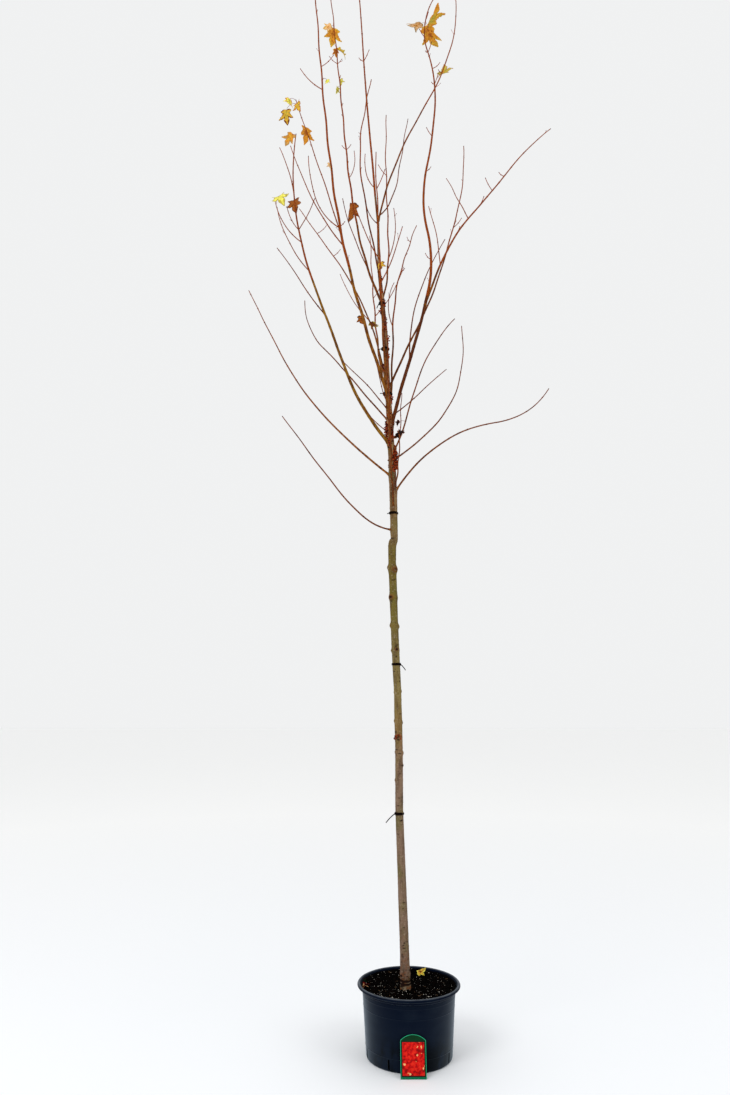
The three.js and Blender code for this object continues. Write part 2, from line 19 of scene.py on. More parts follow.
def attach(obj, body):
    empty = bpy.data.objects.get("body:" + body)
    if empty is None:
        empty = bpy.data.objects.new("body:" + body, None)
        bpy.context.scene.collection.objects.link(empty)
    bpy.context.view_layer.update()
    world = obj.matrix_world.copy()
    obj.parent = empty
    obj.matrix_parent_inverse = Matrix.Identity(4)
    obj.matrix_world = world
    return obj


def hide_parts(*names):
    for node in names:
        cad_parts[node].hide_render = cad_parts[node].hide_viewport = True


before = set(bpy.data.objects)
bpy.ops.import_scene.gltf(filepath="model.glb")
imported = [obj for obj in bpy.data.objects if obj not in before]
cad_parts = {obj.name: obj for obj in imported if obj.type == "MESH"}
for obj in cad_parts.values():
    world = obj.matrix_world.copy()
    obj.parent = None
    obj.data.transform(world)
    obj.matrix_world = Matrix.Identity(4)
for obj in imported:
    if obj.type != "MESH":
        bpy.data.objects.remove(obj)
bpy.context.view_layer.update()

# Pot and compost
GAP = 0.0003
BASE_RADIUS = 0.182
BASE_ROUND = 0.007
WALL_TOP = 0.262
WALL_TOP_RADIUS = 0.198
RIM_RADIUS = 0.22
POT_WALL = 0.003
POT_FLOOR = 0.004
POT_SEGMENTS = 160
POT_SHARP_ANGLE = 35
# Heights of the plain rings up the wall's outside, as first, end and step, and down its inside
WALL_RINGS = (0.014, 0.258, 0.008)
INSIDE_RINGS = (0.2, 0.1, POT_FLOOR)
# Rim profile from the wall's top outside round to the inside: inwards from the rim's radius, and up
RIM_PROFILE = ((0.014, 0.004), (0.012, 0.012), (0.001, 0.016), (0, 0.022), (0.005, 0.028),
               (0.012, 0.027), (0.017, 0.012))
# A pale painted highlight lies along the rim's top between these distances from the pot's axis, and between
# these heights
RIM_HIGHLIGHT_REACH = (0.2, 0.205)
RIM_HIGHLIGHT_HEIGHT = (0.2858, 0.2888)
# Heights of the faint ridges that the mould left round the wall, and how far they stand out
MOULD_RIDGES = (0.052, 0.205, 0.246)
RIDGE_SIZE = 0.0007
RIDGE_REACH = 0.0011
RIDGE_PROFILE = (-0.003, -0.0018, -0.001, 0, 0.001, 0.0018, 0.003)
SLOT_COUNT = 8
SLOT_FIRST_HEADING = 15
SLOT_WIDTH = 0.009
SLOT_DEPTH = 0.03
SLOT_BOTTOM = 0.006
SLOT_TOP = 0.046
SOIL_LEVEL = 0.25
SOIL_BUMPS = 0.004
# Bumps of the compost's surface: waves per metre, and the share of each run
SOIL_WAVES = ((28, 0.7), (95, 0.35), (240, 0.18))
# How far loose compost is heaped above its level at the stem, and banked up at the wall
SOIL_HEAP = 0.011
SOIL_BANK = 0.0325
SOIL_REACH = 0.2
# Rings over the compost's top, and the heights of those up its side
SOIL_TOP_RINGS = 70
SOIL_SIDE_RINGS = (POT_FLOOR + GAP, 0.08, 0.16, SOIL_LEVEL, 0.255)
# Litter that lies on the compost: how many of each kind, and their sizes
LITTER_SEED = 11
CRUMB_COUNT = 1500
CRUMB_SIZES = (0.0025, 0.0075)
FLECK_COUNT = 260
FLECK_SIZES = (0.0007, 0.0037)
STRAW_COUNT = 26
STRAW_LENGTHS = (0.004, 0.014)
STRAW_RADII = (0.0003, 0.0007)
# Flecks and straws lie this far above the compost's surface
LITTER_LIFT = 0.003
# Crumbs piled against the stem's foot: how far they lie from it, and above or below the heap
FOOT_CRUMB_COUNT = 90
FOOT_CRUMB_SIZES = (0.004, 0.009)
FOOT_CRUMB_GAPS = (0.001, 0.008)
FOOT_CRUMB_RISES = (-0.003, 0.003)

# Stem stations from the compost to the foot of the crown's tip: height, shift along X, radius
STEM_STATIONS = (
    (0.25, -0.013, 0.025),
    (0.258, -0.013, 0.0235),
    (0.275, -0.014, 0.0225),
    (0.33, -0.015, 0.021),
    (0.45, -0.018, 0.0195),
    (1, -0.036, 0.017),
    (1.25, -0.035, 0.017),
    (1.52, -0.04, 0.017),
    (1.74, -0.05, 0.0173),
    (2.1, -0.061, 0.0178),
    (2.185, -0.061, 0.0185),
    (2.208, -0.051, 0.0164),
    (2.4, -0.054, 0.018),
    (2.6, -0.06, 0.017),
    (2.93, -0.077, 0.0125),
    (3.29, -0.094, 0.0095),
    (3.56, -0.118, 0.0074),
    (3.8, -0.122, 0.0058),
    (3.95, -0.136, 0.005),
)
STEM_SIDES = 56
STEM_RING_STEP = 0.004
# The old stem was cut off here, and the leader rises from its right side
JOG = (2.17, 2.214)
# The old stem's stations hold up to the first height, and the leader's from the second
JOG_STATIONS = (2.185, 2.208)
# Painted shade in the crease on the jog's left: height and reach
JOG_CREASE_SHADE = (2.213, 0.003)
# The bark's relief grows weaker where the stem is thinner than this radius
FULL_BARK_RADIUS = 0.017
LEAST_BARK = 0.3
# Noise that roughens the bark: how far it stands out, and its waves per metre
BARK_HUMPS = (0.0009, (17, 17, 9))
BARK_FURROWS = (0.0005, (190, 190, 26))
BARK_CRACKS = (0.00035, (95, 95, 210))
# The furrows grow shallow between these heights, down to this share
FURROWS_FADE = (0.8, 1.175)
FURROWS_LEAST = 0.25
# Numbers of the bark's tones
# The first tone darkens scars, stains, dashes and wrinkles, and also carries painted shade in creases,
# grooves and under the collars
SCAR_AND_SHADE_TONE = 0
RIND_TONE = 1
LENTICEL_TONE = 2
# Pruning scars: height, heading, how dark and how large
SCARS = ((2.08, 184, 0.8, 0.9), (2.068, 300, 0.5, 1.55), (1.94, 236, 0.7, 1.35), (1.935, 310, 0.5, 0.6),
         (1.812, 178, 0.9, 0.9), (1.806, 4, 0.9, 0.9), (1.696, 176, 0.5, 0.7), (1.702, 284, 1, 0.9),
         (1.722, 296, 0.8, 0.5), (1.515, 0, 0.8, 0.5), (1.51, 182, 0.3, 0.4), (1.384, 182, 0.8, 0.5),
         (1.376, 358, 0.8, 0.6), (1.247, 180, 0.8, 0.5), (1.243, 2, 0.8, 0.7), (1.19, 348, 1, 0.6),
         (1.125, 184, 0.9, 0.6), (2.36, 250, 0.4, 0.8), (2.49, 262, 0.6, 0.8), (2.56, 280, 0.7, 0.8),
         (0.32, 225, 0.9, 0.9))
SCAR_SIZE = 0.0085
SCAR_RISE = 0.0072
# How far a scar's heart is sunk, as a share of its rise
SCAR_HOLLOW = 0.4
# The ring at a scar's height: how far it stands out, and how orange it is
RING_RISE = 0.0012
RING_ORANGE = 0.2
# Dark stains: height, heading, reach up and round the stem, and how dark
STAINS = ((1.712, 284, 0.02, 0.008, 0.45), (1.925, 240, 0.014, 0.009, 0.35), (2.055, 276, 0.012, 0.01, 0.2),
          (1.8, 10, 0.012, 0.008, 0.4), (1.272, 330, 0.01, 0.006, 0.35), (1.235, 215, 0.012, 0.008, 0.3),
          (1.505, 275, 0.006, 0.006, 0.3), (2.52, 268, 0.03, 0.006, 0.3), (2.45, 300, 0.02, 0.006, 0.3))
STAIN_WAVES = (260, 260, 120)
# The leader's bark is rough and thick between its upper ties: middle height, reach and rise
LEADER_SWELL = (3.24, 0.26, 0.0025)
# Swellings of the leader below each bough: how far they stand out under a bough of this thickness,
# their reach round and up the stem, how far below the bough's place they lie, where the painted
# shadow under them starts below their middle, and how dark it is
STEM_COLLAR_RISE = 0.005
STEM_COLLAR_BOUGH = 0.015
STEM_COLLAR_REACH = (0.011, 0.02)
STEM_COLLAR_DROP = 0.004
STEM_COLLAR_SHADOW_START = 0.016
STEM_COLLAR_SHADE = 0.35
BARK_SEED = 7
# Lenticels, which stand out and are wider than they are high
LENTICEL_COUNT = 1100
LENTICELS_TO = 3
LENTICEL_SIZES = (0.0014, 0.003)
LENTICEL_STRETCH = 1.6
LENTICEL_RISE = 0.0005
# Small dark dashes on the clear stem: the plain ones by height and heading, and how many more
DASHES = ((0.451, 268), (0.43, 262), (0.384, 274), (0.318, 290), (0.312, 305))
DASH_COUNT = 110
DASHES_TO = 2.2
DASH_REACHES_UP = (0.0014, 0.0032)
DASH_REACHES_ROUND = (0.004, 0.009)
DASH_RISE = 0.0008
DASH_DARKNESS = (0.5, 0.95)
# Lobes of the root flare, and the grooves above them, with painted shade in them
FLARE_SIZE = 0.0026
FLARE_FADE = 0.016
FOOT_GROOVES = (0.2845, 0.296)
GROOVE_DEPTH = 0.0022
GROOVE_REACH = 0.0029
GROOVE_WAVE = 0.0006
GROOVE_SHADE = 1.6
# How fast the foot's blotches and wrinkles fade up the stem
BLOTCHES_FADE = 0.14
WRINKLES_FADE = 0.3

# Soft ties left round the stem: height, heading, length and lean of the loose end, and their stand-off
TIES = ((0.983, 195, 0.055, 128, 0), (1.635, -20, 0.035, 135, 0), (2.335, 200, 0.012, 110, 0),
        (2.915, 205, 0.018, 95, 0.0065), (3.143, 185, 0.016, 100, 0.005), (3.378, 165, 0.024, 150, 0.004))
TIE_THICKNESS = 0.0036
TIE_TURNS = 3.3
TIE_TURN_STEPS = 40
TIE_WOBBLE = 0.0008
# Heading to which a tie that stands off hangs out, over the foot of a bough
TIE_HANG = 250
# A tie's middle lies off the stem by this share of its thickness, and its knot a little further
TIE_OFFSET = 0.7
KNOT_OFFSET = 0.001
# The knot's two lumps, across and upright: length and radius
KNOT_ACROSS = (0.009, 0.0032)
KNOT_UPRIGHT = (0.008, 0.0028)
# The loose end: its thickness from knot to tip beside the tie's, and its steps
TAIL_SHARES = (1.25, 1.1)
TAIL_STEPS = 8

# Printed card that leans on the pot
CARD_WIDTH = 0.104
CARD_HEIGHT = 0.157
CARD_SHOULDER = 0.136
CARD_THICKNESS = 0.0015
CARD_SHIFT = 0.006
CARD_LEAN = 11.8
CARD_LINE_INSET = 0.0008
CARD_LINE_WIDTH = 0.0015
CARD_PRINT_RISE = 0.00012
CARD_BEVEL = 0.00025
CARD_PRINT_BEVEL = 0.00005
# A plate is drawn in by its bevel at this distance from its middle
BEVEL_REACH = 0.05
# Printed fields of the card: width, foot and top
CARD_PANEL_EDGE = (0.091, 0.009, 0.132)
CARD_PANEL = (0.088, 0.0125, 0.129)
CARD_FOOT_STRIP = (0.1, 0.001, 0.0075)
CARD_FIELD_CORNER = 0.0012

# Limbs grow as smooth curves: this is the length of one growth step, and the sway about the curve
STEP = 0.02
LEAST_STEPS = 4
SWAY_SIZE = 0.0025
SWAY_WAVE = 0.23
SWAY_ROOT_FADE = 0.15
# Share of a bough's foot thickness that lies inside the stem
FOOT_SINK = 1 / 3
STEM = "stem"


class Limb(NamedTuple):
    """A bough or shoot, where it springs and how it grows.

    "on" and "at" say where it springs: a height on the stem, or a share of another limb. "leans" are
    read evenly from foot to tip. "thick" is the diameter at foot and tip. Its wood is that of a bough
    up to the share "mass", and young shoots from there on. The heading changes by "turn" to the tip.
    """

    name: str
    on: str
    at: float
    heading: float
    leans: tuple
    length: float
    thick: tuple
    mass: float = 1.0
    turn: float = 0.0


class Leaf(NamedTuple):
    """A leaf that hangs from a limb.

    It has the place where its stalk springs, its heading, the droop and roll of its blade, the blade's
    length, and its tints at the heart, in the field and at the edge. "curl" bends it across and along,
    in radians per length of blade, and "stalk" is the stalk's share of that length.
    """

    on: str
    at: float
    heading: float
    droop: float
    roll: float
    size: float
    tints: tuple
    curl: tuple = (0.9, 0.7)
    stalk: float = 0.4


class Layer(NamedTuple):
    """A colour that noise lays over the colours below it.

    It starts where the noise passes "low", and is at its "most" from "high" on. The noise has a number
    of waves per metre, and is drawn out upright where "upright" is below 1.
    """

    colour: tuple
    waves: float
    low: float
    high: float
    most: float = 1.0
    detail: float = 3.0
    upright: float = 1.0
    leader_only: bool = False


BOUGHS = (
    Limb("left_1", STEM, 2.255, 205, (86, 50, 42, 41, 40), 0.735, (0.007, 0.003)),
    Limb("front_1", STEM, 2.368, 266, (66, 52, 38, 30), 0.9, (0.0075, 0.003)),
    Limb("back_1", STEM, 2.4, 84, (60, 48, 34, 26), 1.05, (0.008, 0.003)),
    Limb("right_1", STEM, 2.445, -12, (33, 56, 86, 33), 0.87, (0.008, 0.003)),
    Limb("left_2", STEM, 2.52, 160, (50, 42, 28, 26), 1.32, (0.009, 0.003)),
    Limb("right_2", STEM, 2.595, 38, (54, 49, 36, 12, -7), 0.98, (0.007, 0.003)),
    Limb("right_3", STEM, 2.63, -40, (33, 18, 33, 60), 0.675, (0.007, 0.003)),
    Limb("left_3", STEM, 2.675, 192, (42, 20, 21, 8, -7), 1.65, (0.015, 0.0035), mass=0.53),
    Limb("front_2", STEM, 2.7, 262, (44, 28, 20, 14), 1.25, (0.01, 0.003), mass=0.5),
    Limb("right_4", STEM, 2.765, -15, (14, 18, 13, -12, 12, 4, -16, 36), 2.33, (0.016, 0.0035), mass=0.28),
    Limb("left_4", STEM, 2.79, 140, (42, 40, 44, 4), 0.98, (0.007, 0.003)),
    Limb("right_5", STEM, 2.81, 24, (52, 44, 48), 0.41, (0.005, 0.0025)),
    Limb("back_2", STEM, 2.832, 66, (9, 3, 31, 33), 1.26, (0.009, 0.003), mass=0.34),
    Limb("left_5", STEM, 2.84, 222, (53, 66), 0.32, (0.005, 0.0025)),
    Limb("back_3", STEM, 2.88, 98, (46, 30, 20, 12), 1.35, (0.011, 0.003), mass=0.45),
    Limb("left_6", STEM, 2.925, 228, (31, 24, 11, 7, 6), 2, (0.015, 0.0035), mass=0.3),
    Limb("left_7", STEM, 2.95, 148, (7, 23, 34, 33), 1.24, (0.008, 0.003), mass=0.6),
    Limb("right_6", STEM, 2.95, 32, (24, 28, 19, 16, -2), 1.55, (0.01, 0.003), mass=0.55),
    Limb("left_8", STEM, 3.385, 128, (29, 15, 8, 8, 9), 2.08, (0.011, 0.0035), mass=0.27),
    Limb("back_4", STEM, 3.402, 66, (30, 7, -4), 1.18, (0.008, 0.003), mass=0.22, turn=70),
    Limb("front_3", STEM, 3.525, 245, (30, 27, -16, -19), 1.07, (0.007, 0.003), mass=0.4),
    Limb("right_7", STEM, 3.815, -22, (12, 24, 35, 18, -6), 1.23, (0.008, 0.003), mass=0.5),
    Limb("right_8", STEM, 3.84, 60, (49, 16, 16), 0.84, (0.0055, 0.0025)),
    Limb("spur_1", STEM, 2.728, 204, (62, 40), 0.165, (0.004, 0.0022)),
    Limb("spur_2", STEM, 2.87, 250, (80, 15), 0.22, (0.004, 0.0022)),
    Limb("spur_3", STEM, 3.8, 230, (90, 13), 0.13, (0.0035, 0.0022)),
    Limb("right_9", "right_4", 0.26, -8, (20, 21, 31, 43, 38, 42, 55), 1.09, (0.01, 0.003), mass=0.18),
    Limb("right_10", "right_4", 0.14, 20, (-2, 19, 30), 0.7, (0.006, 0.0025)),
    Limb("left_9", "left_3", 0.42, 165, (38, 30, 36), 0.455, (0.005, 0.0025)),
    Limb("left_10", "left_8", 0.12, 215, (35, 16), 0.36, (0.0045, 0.0025)),
)
TIP = Limb("top", STEM, 3.95, 180, (4, 5, 4, 3, 5, 3), 1.5, (0.0096, 0.003), mass=0)
TWIGS = (
    Limb("left_3a", "left_3", 0.56, 215, (57, 33, 14), 0.33, (0.004, 0.0024)),
    Limb("left_3b", "left_3", 0.65, 185, (54, 10), 0.25, (0.004, 0.0024)),
    Limb("left_3c", "left_3", 0.69, 240, (85, 32), 0.125, (0.0036, 0.0024)),
    Limb("left_3d", "left_3", 0.69, -60, (76, 60), 0.185, (0.0036, 0.0024)),
    Limb("left_3e", "left_3", 0.8, 150, (10, 26), 0.3, (0.004, 0.0024)),
    Limb("left_6a", "left_6", 0.31, 200, (15, 20, 20), 0.815, (0.0055, 0.0024)),
    Limb("left_6b", "left_6", 0.35, 190, (41, 26, 18), 0.545, (0.005, 0.0024)),
    Limb("left_6c", "left_6", 0.39, 165, (53, 17, 2), 0.44, (0.0045, 0.0024)),
    Limb("left_6d", "left_6", 0.72, 150, (49, 28), 0.2, (0.0036, 0.0024)),
    Limb("left_8a", "left_8", 0.41, 60, (42, -10), 0.2, (0.0036, 0.0024)),
    Limb("back_4a", "back_4", 0.26, 20, (23, 6, -9), 0.29, (0.004, 0.0024)),
    Limb("back_2a", "back_2", 0.36, 200, (24, -28), 0.24, (0.0036, 0.0024)),
    Limb("right_9a", "right_9", 0.45, 110, (33, 33), 0.42, (0.0045, 0.0024)),
    Limb("right_9b", "right_9", 0.2, 230, (6, 30), 0.28, (0.004, 0.0024)),
    Limb("back_3a", "back_3", 0.5, 150, (44, 20), 0.42, (0.005, 0.0024)),
    Limb("back_3b", "back_3", 0.56, 30, (40, 18), 0.38, (0.0045, 0.0024)),
    Limb("front_2a", "front_2", 0.56, 320, (40, 18), 0.26, (0.0045, 0.0024)),
    Limb("front_2b", "front_2", 0.64, 215, (44, 20), 0.24, (0.004, 0.0024)),
    Limb("top_a", "top", 0.03, 170, (42, 10, -5), 0.2, (0.004, 0.0024)),
)

# The last leaves
LEAVES = (
    Leaf("left_8", 0.92, 96, 88, -19, 0.102, ("rust", "orange", "gold"), (0.9, 0.6), 0.56),
    Leaf("left_8", 0.901, 160, 13, -121, 0.05, ("orange", "peach", "gold"), (1.2, 0.8), 0.51),
    Leaf("left_8", 0.835, 92, 22, 157, 0.048, ("brown", "rust", "orange"), (2.2, 0.5), 0.9),
    Leaf("left_8", 0.819, 20, 5, -121, 0.068, ("rust", "gold", "olive"), (2, 1.2), 0.25),
    Leaf("left_8", 0.725, 74, 14, -56, 0.044, ("olive", "yellow", "tan"), (1.6, 0.5), 0.59),
    Leaf("left_8", 0.7, 162, 89, 15, 0.04, ("yellow", "olive", "yellow"), (1.6, 0.5), 0.54),
    Leaf("left_6", 0.744, 347, 89, 103, 0.032, ("olive", "yellow", "olive"), (1.5, 0.8), 1.04),
    Leaf("left_6a", 0.996, 217, 76, -89, 0.054, ("olive", "yellow", "orange"), (1.2, 0.8), 0.88),
    Leaf("left_6a", 0.97, 275, 64, -127, 0.06, ("olive", "gold", "rust"), (1.8, 0.6)),
    Leaf("left_6a", 0.978, 163, 88, 92, 0.07, ("olive", "gold", "brown"), (0.8, 0.6), 1.05),
    Leaf("left_6a", 0.852, 85, 13, -142, 0.085, ("rust", "orange", "orange"), (1.2, 0.6), 0.57),
    Leaf("left_3", 0.998, 184, 51, 99, 0.068, ("gold", "orange", "tan"), (1, 0.7), 0.32),
    Leaf("left_3b", 0.923, 285, 29, -150, 0.085, ("yellow", "yellow", "olive"), (1.2, 1.2), 0.85),
    Leaf("left_3", 0.789, 95, -1, 155, 0.086, ("rust", "rust", "brown"), (1.8, 0.6), 0.69),
    Leaf("left_8", 0.339, 94, 50, -38, 0.1, ("rust", "rust", "brown"), (3, 0.4)),
    Leaf("left_6", 0.538, 246, 89, -84, 0.036, ("tan", "peach", "tan"), (2, 0.5), 0.54),
    Leaf("right_4", 0.93, 68, 42, 26, 0.121, ("rust", "orange", "gold"), (0.8, 0.8)),
    Leaf("right_4", 0.927, 145, 4, -12, 0.088, ("orange", "peach", "tan"), (0.9, 0.8)),
    Leaf("right_4", 0.9, 300, -10, 37, 0.115, ("olive", "gold", "orange"), (1.6, 0.4), 0.44),
    Leaf("right_7", 0.645, 63, -50, -2, 0.085, ("orange", "olive", "tan"), (1, 0.6), 0.34),
)
# Shrivelled leaves that hang on among the boughs
SCRAPS = (
    Leaf("left_6", 0.188, 105, 66, 32, 0.052, ("brown", "rust", "dark"), (2.4, 1.5), 0.45),
    Leaf("left_7", 0.297, 49, 28, -5, 0.056, ("brown", "brown", "olive"), (1.6, 0.8), 0.3),
    Leaf("front_3", 0.049, 304, 77, 75, 0.06, ("rust", "gold", "brown"), (1.5, 0.6), 0.6),
    Leaf("right_3", 0.14, 262, 30, 167, 0.046, ("dark", "dark", "brown"), (2.4, 1.2), 0.61),
    Leaf("right_3", 0.13, 230, 50, 100, 0.042, ("dark", "dark", "brown"), (3, 1.6), 0.5),
    Leaf("right_3", 0.223, 147, 29, 95, 0.036, ("dark", "dark", "brown"), (2.4, 1.2), 1.13),
)
# Leaves that fell on the compost: place, heading, lean, roll, length, tints, curl
FALLEN = (
    ((0.047, 0.15, 0.282), 2, 86, 30, 0.046, ("maroon", "gold", "yellow"), (2, 1)),
    ((-0.179, 0.03, 0.283), 275, 88, 40, 0.045, ("moss", "moss", "dark"), (2.5, 1.5)),
    ((-0.18, -0.02, 0.285), 265, 88, 40, 0.034, ("dark", "maroon", "maroon"), (2.5, 1.5)),
    ((-0.182, -0.052, 0.29), 250, 88, 20, 0.028, ("peach", "maroon", "peach"), (2.2, 1.2)),
)

# Half outline of a lobed blade of length 1, from the stalk's end to the tip
BLADE_HALF = ((0.03, -0.03), (0.2, -0.05), (0.4, 0.12), (0.25, 0.25), (0.36, 0.42), (0.56, 0.68),
              (0.3, 0.6), (0.15, 0.5), (0.2, 0.72), (0.1, 0.86), (0, 1))
BLADE_CENTRE = (0, 0.24)
BLADE_VEINS = ((0.38, 0.11), (0.53, 0.65), (0, 0.96), (-0.53, 0.65), (-0.38, 0.11))
VEIN_WIDTH = 0.028
VEIN_DEPTH = 0.025
# Ripples towards a blade's edge: how high, and how fast they follow one another across and along
BLADE_RIPPLE = 0.05
RIPPLE_TURNS = (9, 8)
# How far noise and veins shift the tints, and the noise's waves per blade
TINT_NOISE = 0.5
TINT_NOISE_WAVES = 6
TINT_VEINS = 0.25
BLADE_RINGS = 8
BLADE_THICKNESS = 0.0005
EDGE_TEETH = 4
TOOTH_SIZE = 0.022
# Shares of the way to the edge where a blade's tint passes from heart to field to edge
TINT_STEPS = (0.28, 0.82)
# Each blade's ripples and tints are shifted by this beside the last one's, and the blades of the
# fallen leaves are counted from this number
BLADE_SHIFT = 1.7
FIRST_FALLEN = 40
STALK_THICK = (0.0019, 0.0016)
STALK_FIRST_LEAN = 50
STALK_SUNK = 0.006

# Seeded side twigs: opposite pairs at every node of a shoot, each pair turned across the last
SIDE_NODE_SPACING = 0.095
SIDE_CHANCE = 0.22
SIDE_LENGTHS = (0.03, 0.085)
SIDE_LEANS = (56, 28)
SIDE_THICK = (0.0028, 0.002)
SIDE_CLEARANCE = 0.014
SIDE_SEED = 41
# Finer growth on every limb: buds in opposite pairs at each node, and short spurs
NODE_SPACING = 0.0475
FIRST_NODE = 0.06
NODE_RISE = 0.09
NODE_REACH = 0.005
SPUR_CHANCE = 0.07
SPUR_LENGTHS = (0.01, 0.03)
SPUR_THICK = (0.0021, 0.0015)
SPUR_LEAN = 42
# Length and radius of a bud, and the range of its size beside them
BUD_LENGTH = 0.0042
BUD_RADIUS = 0.0014
BUD_SIZES = (0.75, 1.15)
# How far the buds of a pair lean out, and the share of the limb's radius at which they sit
BUD_LEAN = 0.62
BUD_SEAT = 0.75
# The bud at a shoot's end is longer and thicker by these shares, and its two neighbours are smaller
TIP_BUD = (1.35, 1.2)
TIP_BUD_SUNK = 0.0006
TIP_SIDE_BUDS = 0.6
# Seeds of the fine growth on the shoots and on the boughs
SHOOT_SEED = 500
BOUGH_SEED = 700
# Profile of a bud: share along it and share of its radius
BEAD = ((0.04, 0.55), (0.22, 0.92), (0.48, 1), (0.74, 0.7), (0.93, 0.3))
# Patches crowded with red flower buds on the leader: height, heading, how many, half height, half turn
BUD_CLUSTERS = ((2.738, 190, 170, 0.042, 42), (2.6, 338, 230, 0.058, 52), (2.57, 290, 60, 0.045, 28),
                (2.8, 262, 40, 0.036, 26), (2.845, 246, 20, 0.022, 18), (2.705, 284, 50, 0.042, 28),
                (2.665, 236, 24, 0.034, 22), (2.66, 80, 60, 0.045, 34), (2.77, 60, 34, 0.034, 26),
                (2.58, 116, 30, 0.03, 26), (2.89, 330, 20, 0.025, 30),
                (3.377, 300, 26, 0.02, 60), (3.335, 200, 16, 0.02, 40), (3.284, 280, 28, 0.025, 60),
                (3.24, 250, 18, 0.02, 50), (3.19, 340, 20, 0.025, 40), (3.1, 300, 16, 0.02, 50),
                (3.05, 200, 14, 0.02, 40), (3.44, 260, 16, 0.015, 50), (3.5, 300, 12, 0.012, 50),
                (1.31, 250, 24, 0.012, 60))
CLUSTER_SEED = 31
# Their spurs: lengths, radii from foot to tip, how deep they are sunk, and how they turn and lean
CLUSTER_SPURS = (0.001, 0.017)
CLUSTER_SPUR_RADII = (0.0014, 0.0012, 0.001)
CLUSTER_SUNK = 0.001
CLUSTER_SCATTER = 22
CLUSTER_LEANS = (30, 105)
# Length and radius of a flower bud, and the range of its size beside them
CLUSTER_BUD = (0.0072, 0.0031)
CLUSTER_SIZES = (0.7, 1.15)
CLUSTER_BROWN_SHARE = 0.5

BOUGH_SIDES = 12
BOUGH_RING_STEP = 0.008
SHOOT_SIDES = 8
TWIG_SIDES = 6
SHOOT_RING_STEP = 0.0095
# Dents in a bough, as a share of its radius, and their waves per metre
BOUGH_DENT = 0.05
BOUGH_WAVES = ((130, 130, 60), (35, 35, 20))
# Radii between which a bough's bark passes from maroon to its own colour
BOUGH_REDDENS = (0.0018, 0.0052)
# How olive and how shaded the bark of a bough is
BOUGH_TONE = (0.3, 0.35)
BOUGH_TONES = {"left_2": (0.3, 0.1), "left_3": (0.85, 0.1), "right_4": (0.1, 0.8), "left_6": (0.45, 0.15),
               "left_7": (0.5, 0.25), "right_6": (0.3, 0.5), "left_8": (0.1, 0.45), "front_3": (0, 0.5)}
# Thickness of the bark that is laid over every limb
RIND = 0.0005
# A bough's own swelling at its foot: share of its radius, and how fast it fades
COLLAR_SWELL = 0.55
COLLAR_FADE = 0.014
# A shoot's wood turns redder as it thins: least thickness for each wood
SHOOT_WOODS = ((0.0036, "brown"), (0.0026, "maroon"), (0, "red"))

# Colours, as linear red, green and blue
BARK_ZONES = ((0.25, (0.12, 0.062, 0.042)), (0.33, (0.15, 0.088, 0.06)), (0.45, (0.185, 0.118, 0.08)),
              (1.1, (0.19, 0.122, 0.08)), (1.24, (0.205, 0.125, 0.068)), (1.32, (0.19, 0.11, 0.038)),
              (1.5, (0.19, 0.14, 0.046)), (1.72, (0.15, 0.11, 0.032)), (1.9, (0.135, 0.098, 0.017)),
              (2.16, (0.13, 0.094, 0.018)), (2.22, (0.17, 0.105, 0.042)), (2.33, (0.165, 0.1, 0.038)),
              (2.42, (0.066, 0.031, 0.01)), (2.6, (0.16, 0.08, 0.032)), (2.8, (0.21, 0.065, 0.013)),
              (2.95, (0.26, 0.12, 0.042)), (3.1, (0.11, 0.036, 0.009)), (3.3, (0.12, 0.032, 0.007)),
              (3.95, (0.11, 0.018, 0.004)))
BARK_SHADE = (0.045, 0.022, 0.012)
BARK_MOSS = (0.105, 0.1, 0.018)
BARK_PALE = (0.3, 0.235, 0.16)
BARK_TAN = (0.42, 0.25, 0.11)
BARK_RED = (0.07, 0.012, 0.004)
# Dark colour of scars and stains, also used for painted shade
SCAR_AND_SHADE_DARK = (0.014, 0.005, 0.003)
SCAR_ORANGE = (0.19, 0.055, 0.009)
BOUGH_WARM = (0.26, 0.072, 0.007)
BOUGH_OLIVE = (0.23, 0.115, 0.009)
BOUGH_MAROON = (0.235, 0.038, 0.005)
BOUGH_SHADE = (0.055, 0.01, 0.003)
WOODS = {"brown": (0.26, 0.05, 0.005), "maroon": (0.3, 0.043, 0.005), "red": (0.38, 0.05, 0.006)}
TINTS = {"orange": (0.68, 0.27, 0.022), "gold": (0.66, 0.39, 0.035), "yellow": (0.82, 0.76, 0.12),
         "olive": (0.5, 0.4, 0.05), "rust": (0.43, 0.12, 0.014), "maroon": (0.14, 0.008, 0.006),
         "brown": (0.19, 0.05, 0.01), "tan": (0.5, 0.3, 0.1), "peach": (0.85, 0.5, 0.23),
         "dark": (0.01, 0.003, 0.0025), "moss": (0.004, 0.022, 0.008)}
POT_NAVY = (0.0005, 0.0026, 0.0105)
POT_DUST = (0.013, 0.021, 0.032)
POT_GLOSS = (0.7, 0.86, 1)
POT_DAMP = (0.0001, 0.0003, 0.001)
# Pale colour of the painted highlight along the rim's top
POT_LIP_HIGHLIGHT = (0.1, 0.112, 0.13)
# Sheen of the plastic on the pot's wall and on its rim
POT_SHEENS = {"pot_wall": 0.42, "pot_rim": 0.08}
CARD_REDS = ((0.22, 0.002, 0.002), (0.58, 0.006, 0.005), (0.68, 0.022, 0.009))
CARD_FLECK = (0.9, 0.55, 0.2)
FLOOR_NEAR = (0.87, 0.885, 0.905)
FLOOR_FAR = (0.99, 0.99, 0.985)
SKY_PALE = (0.875, 0.882, 0.885)

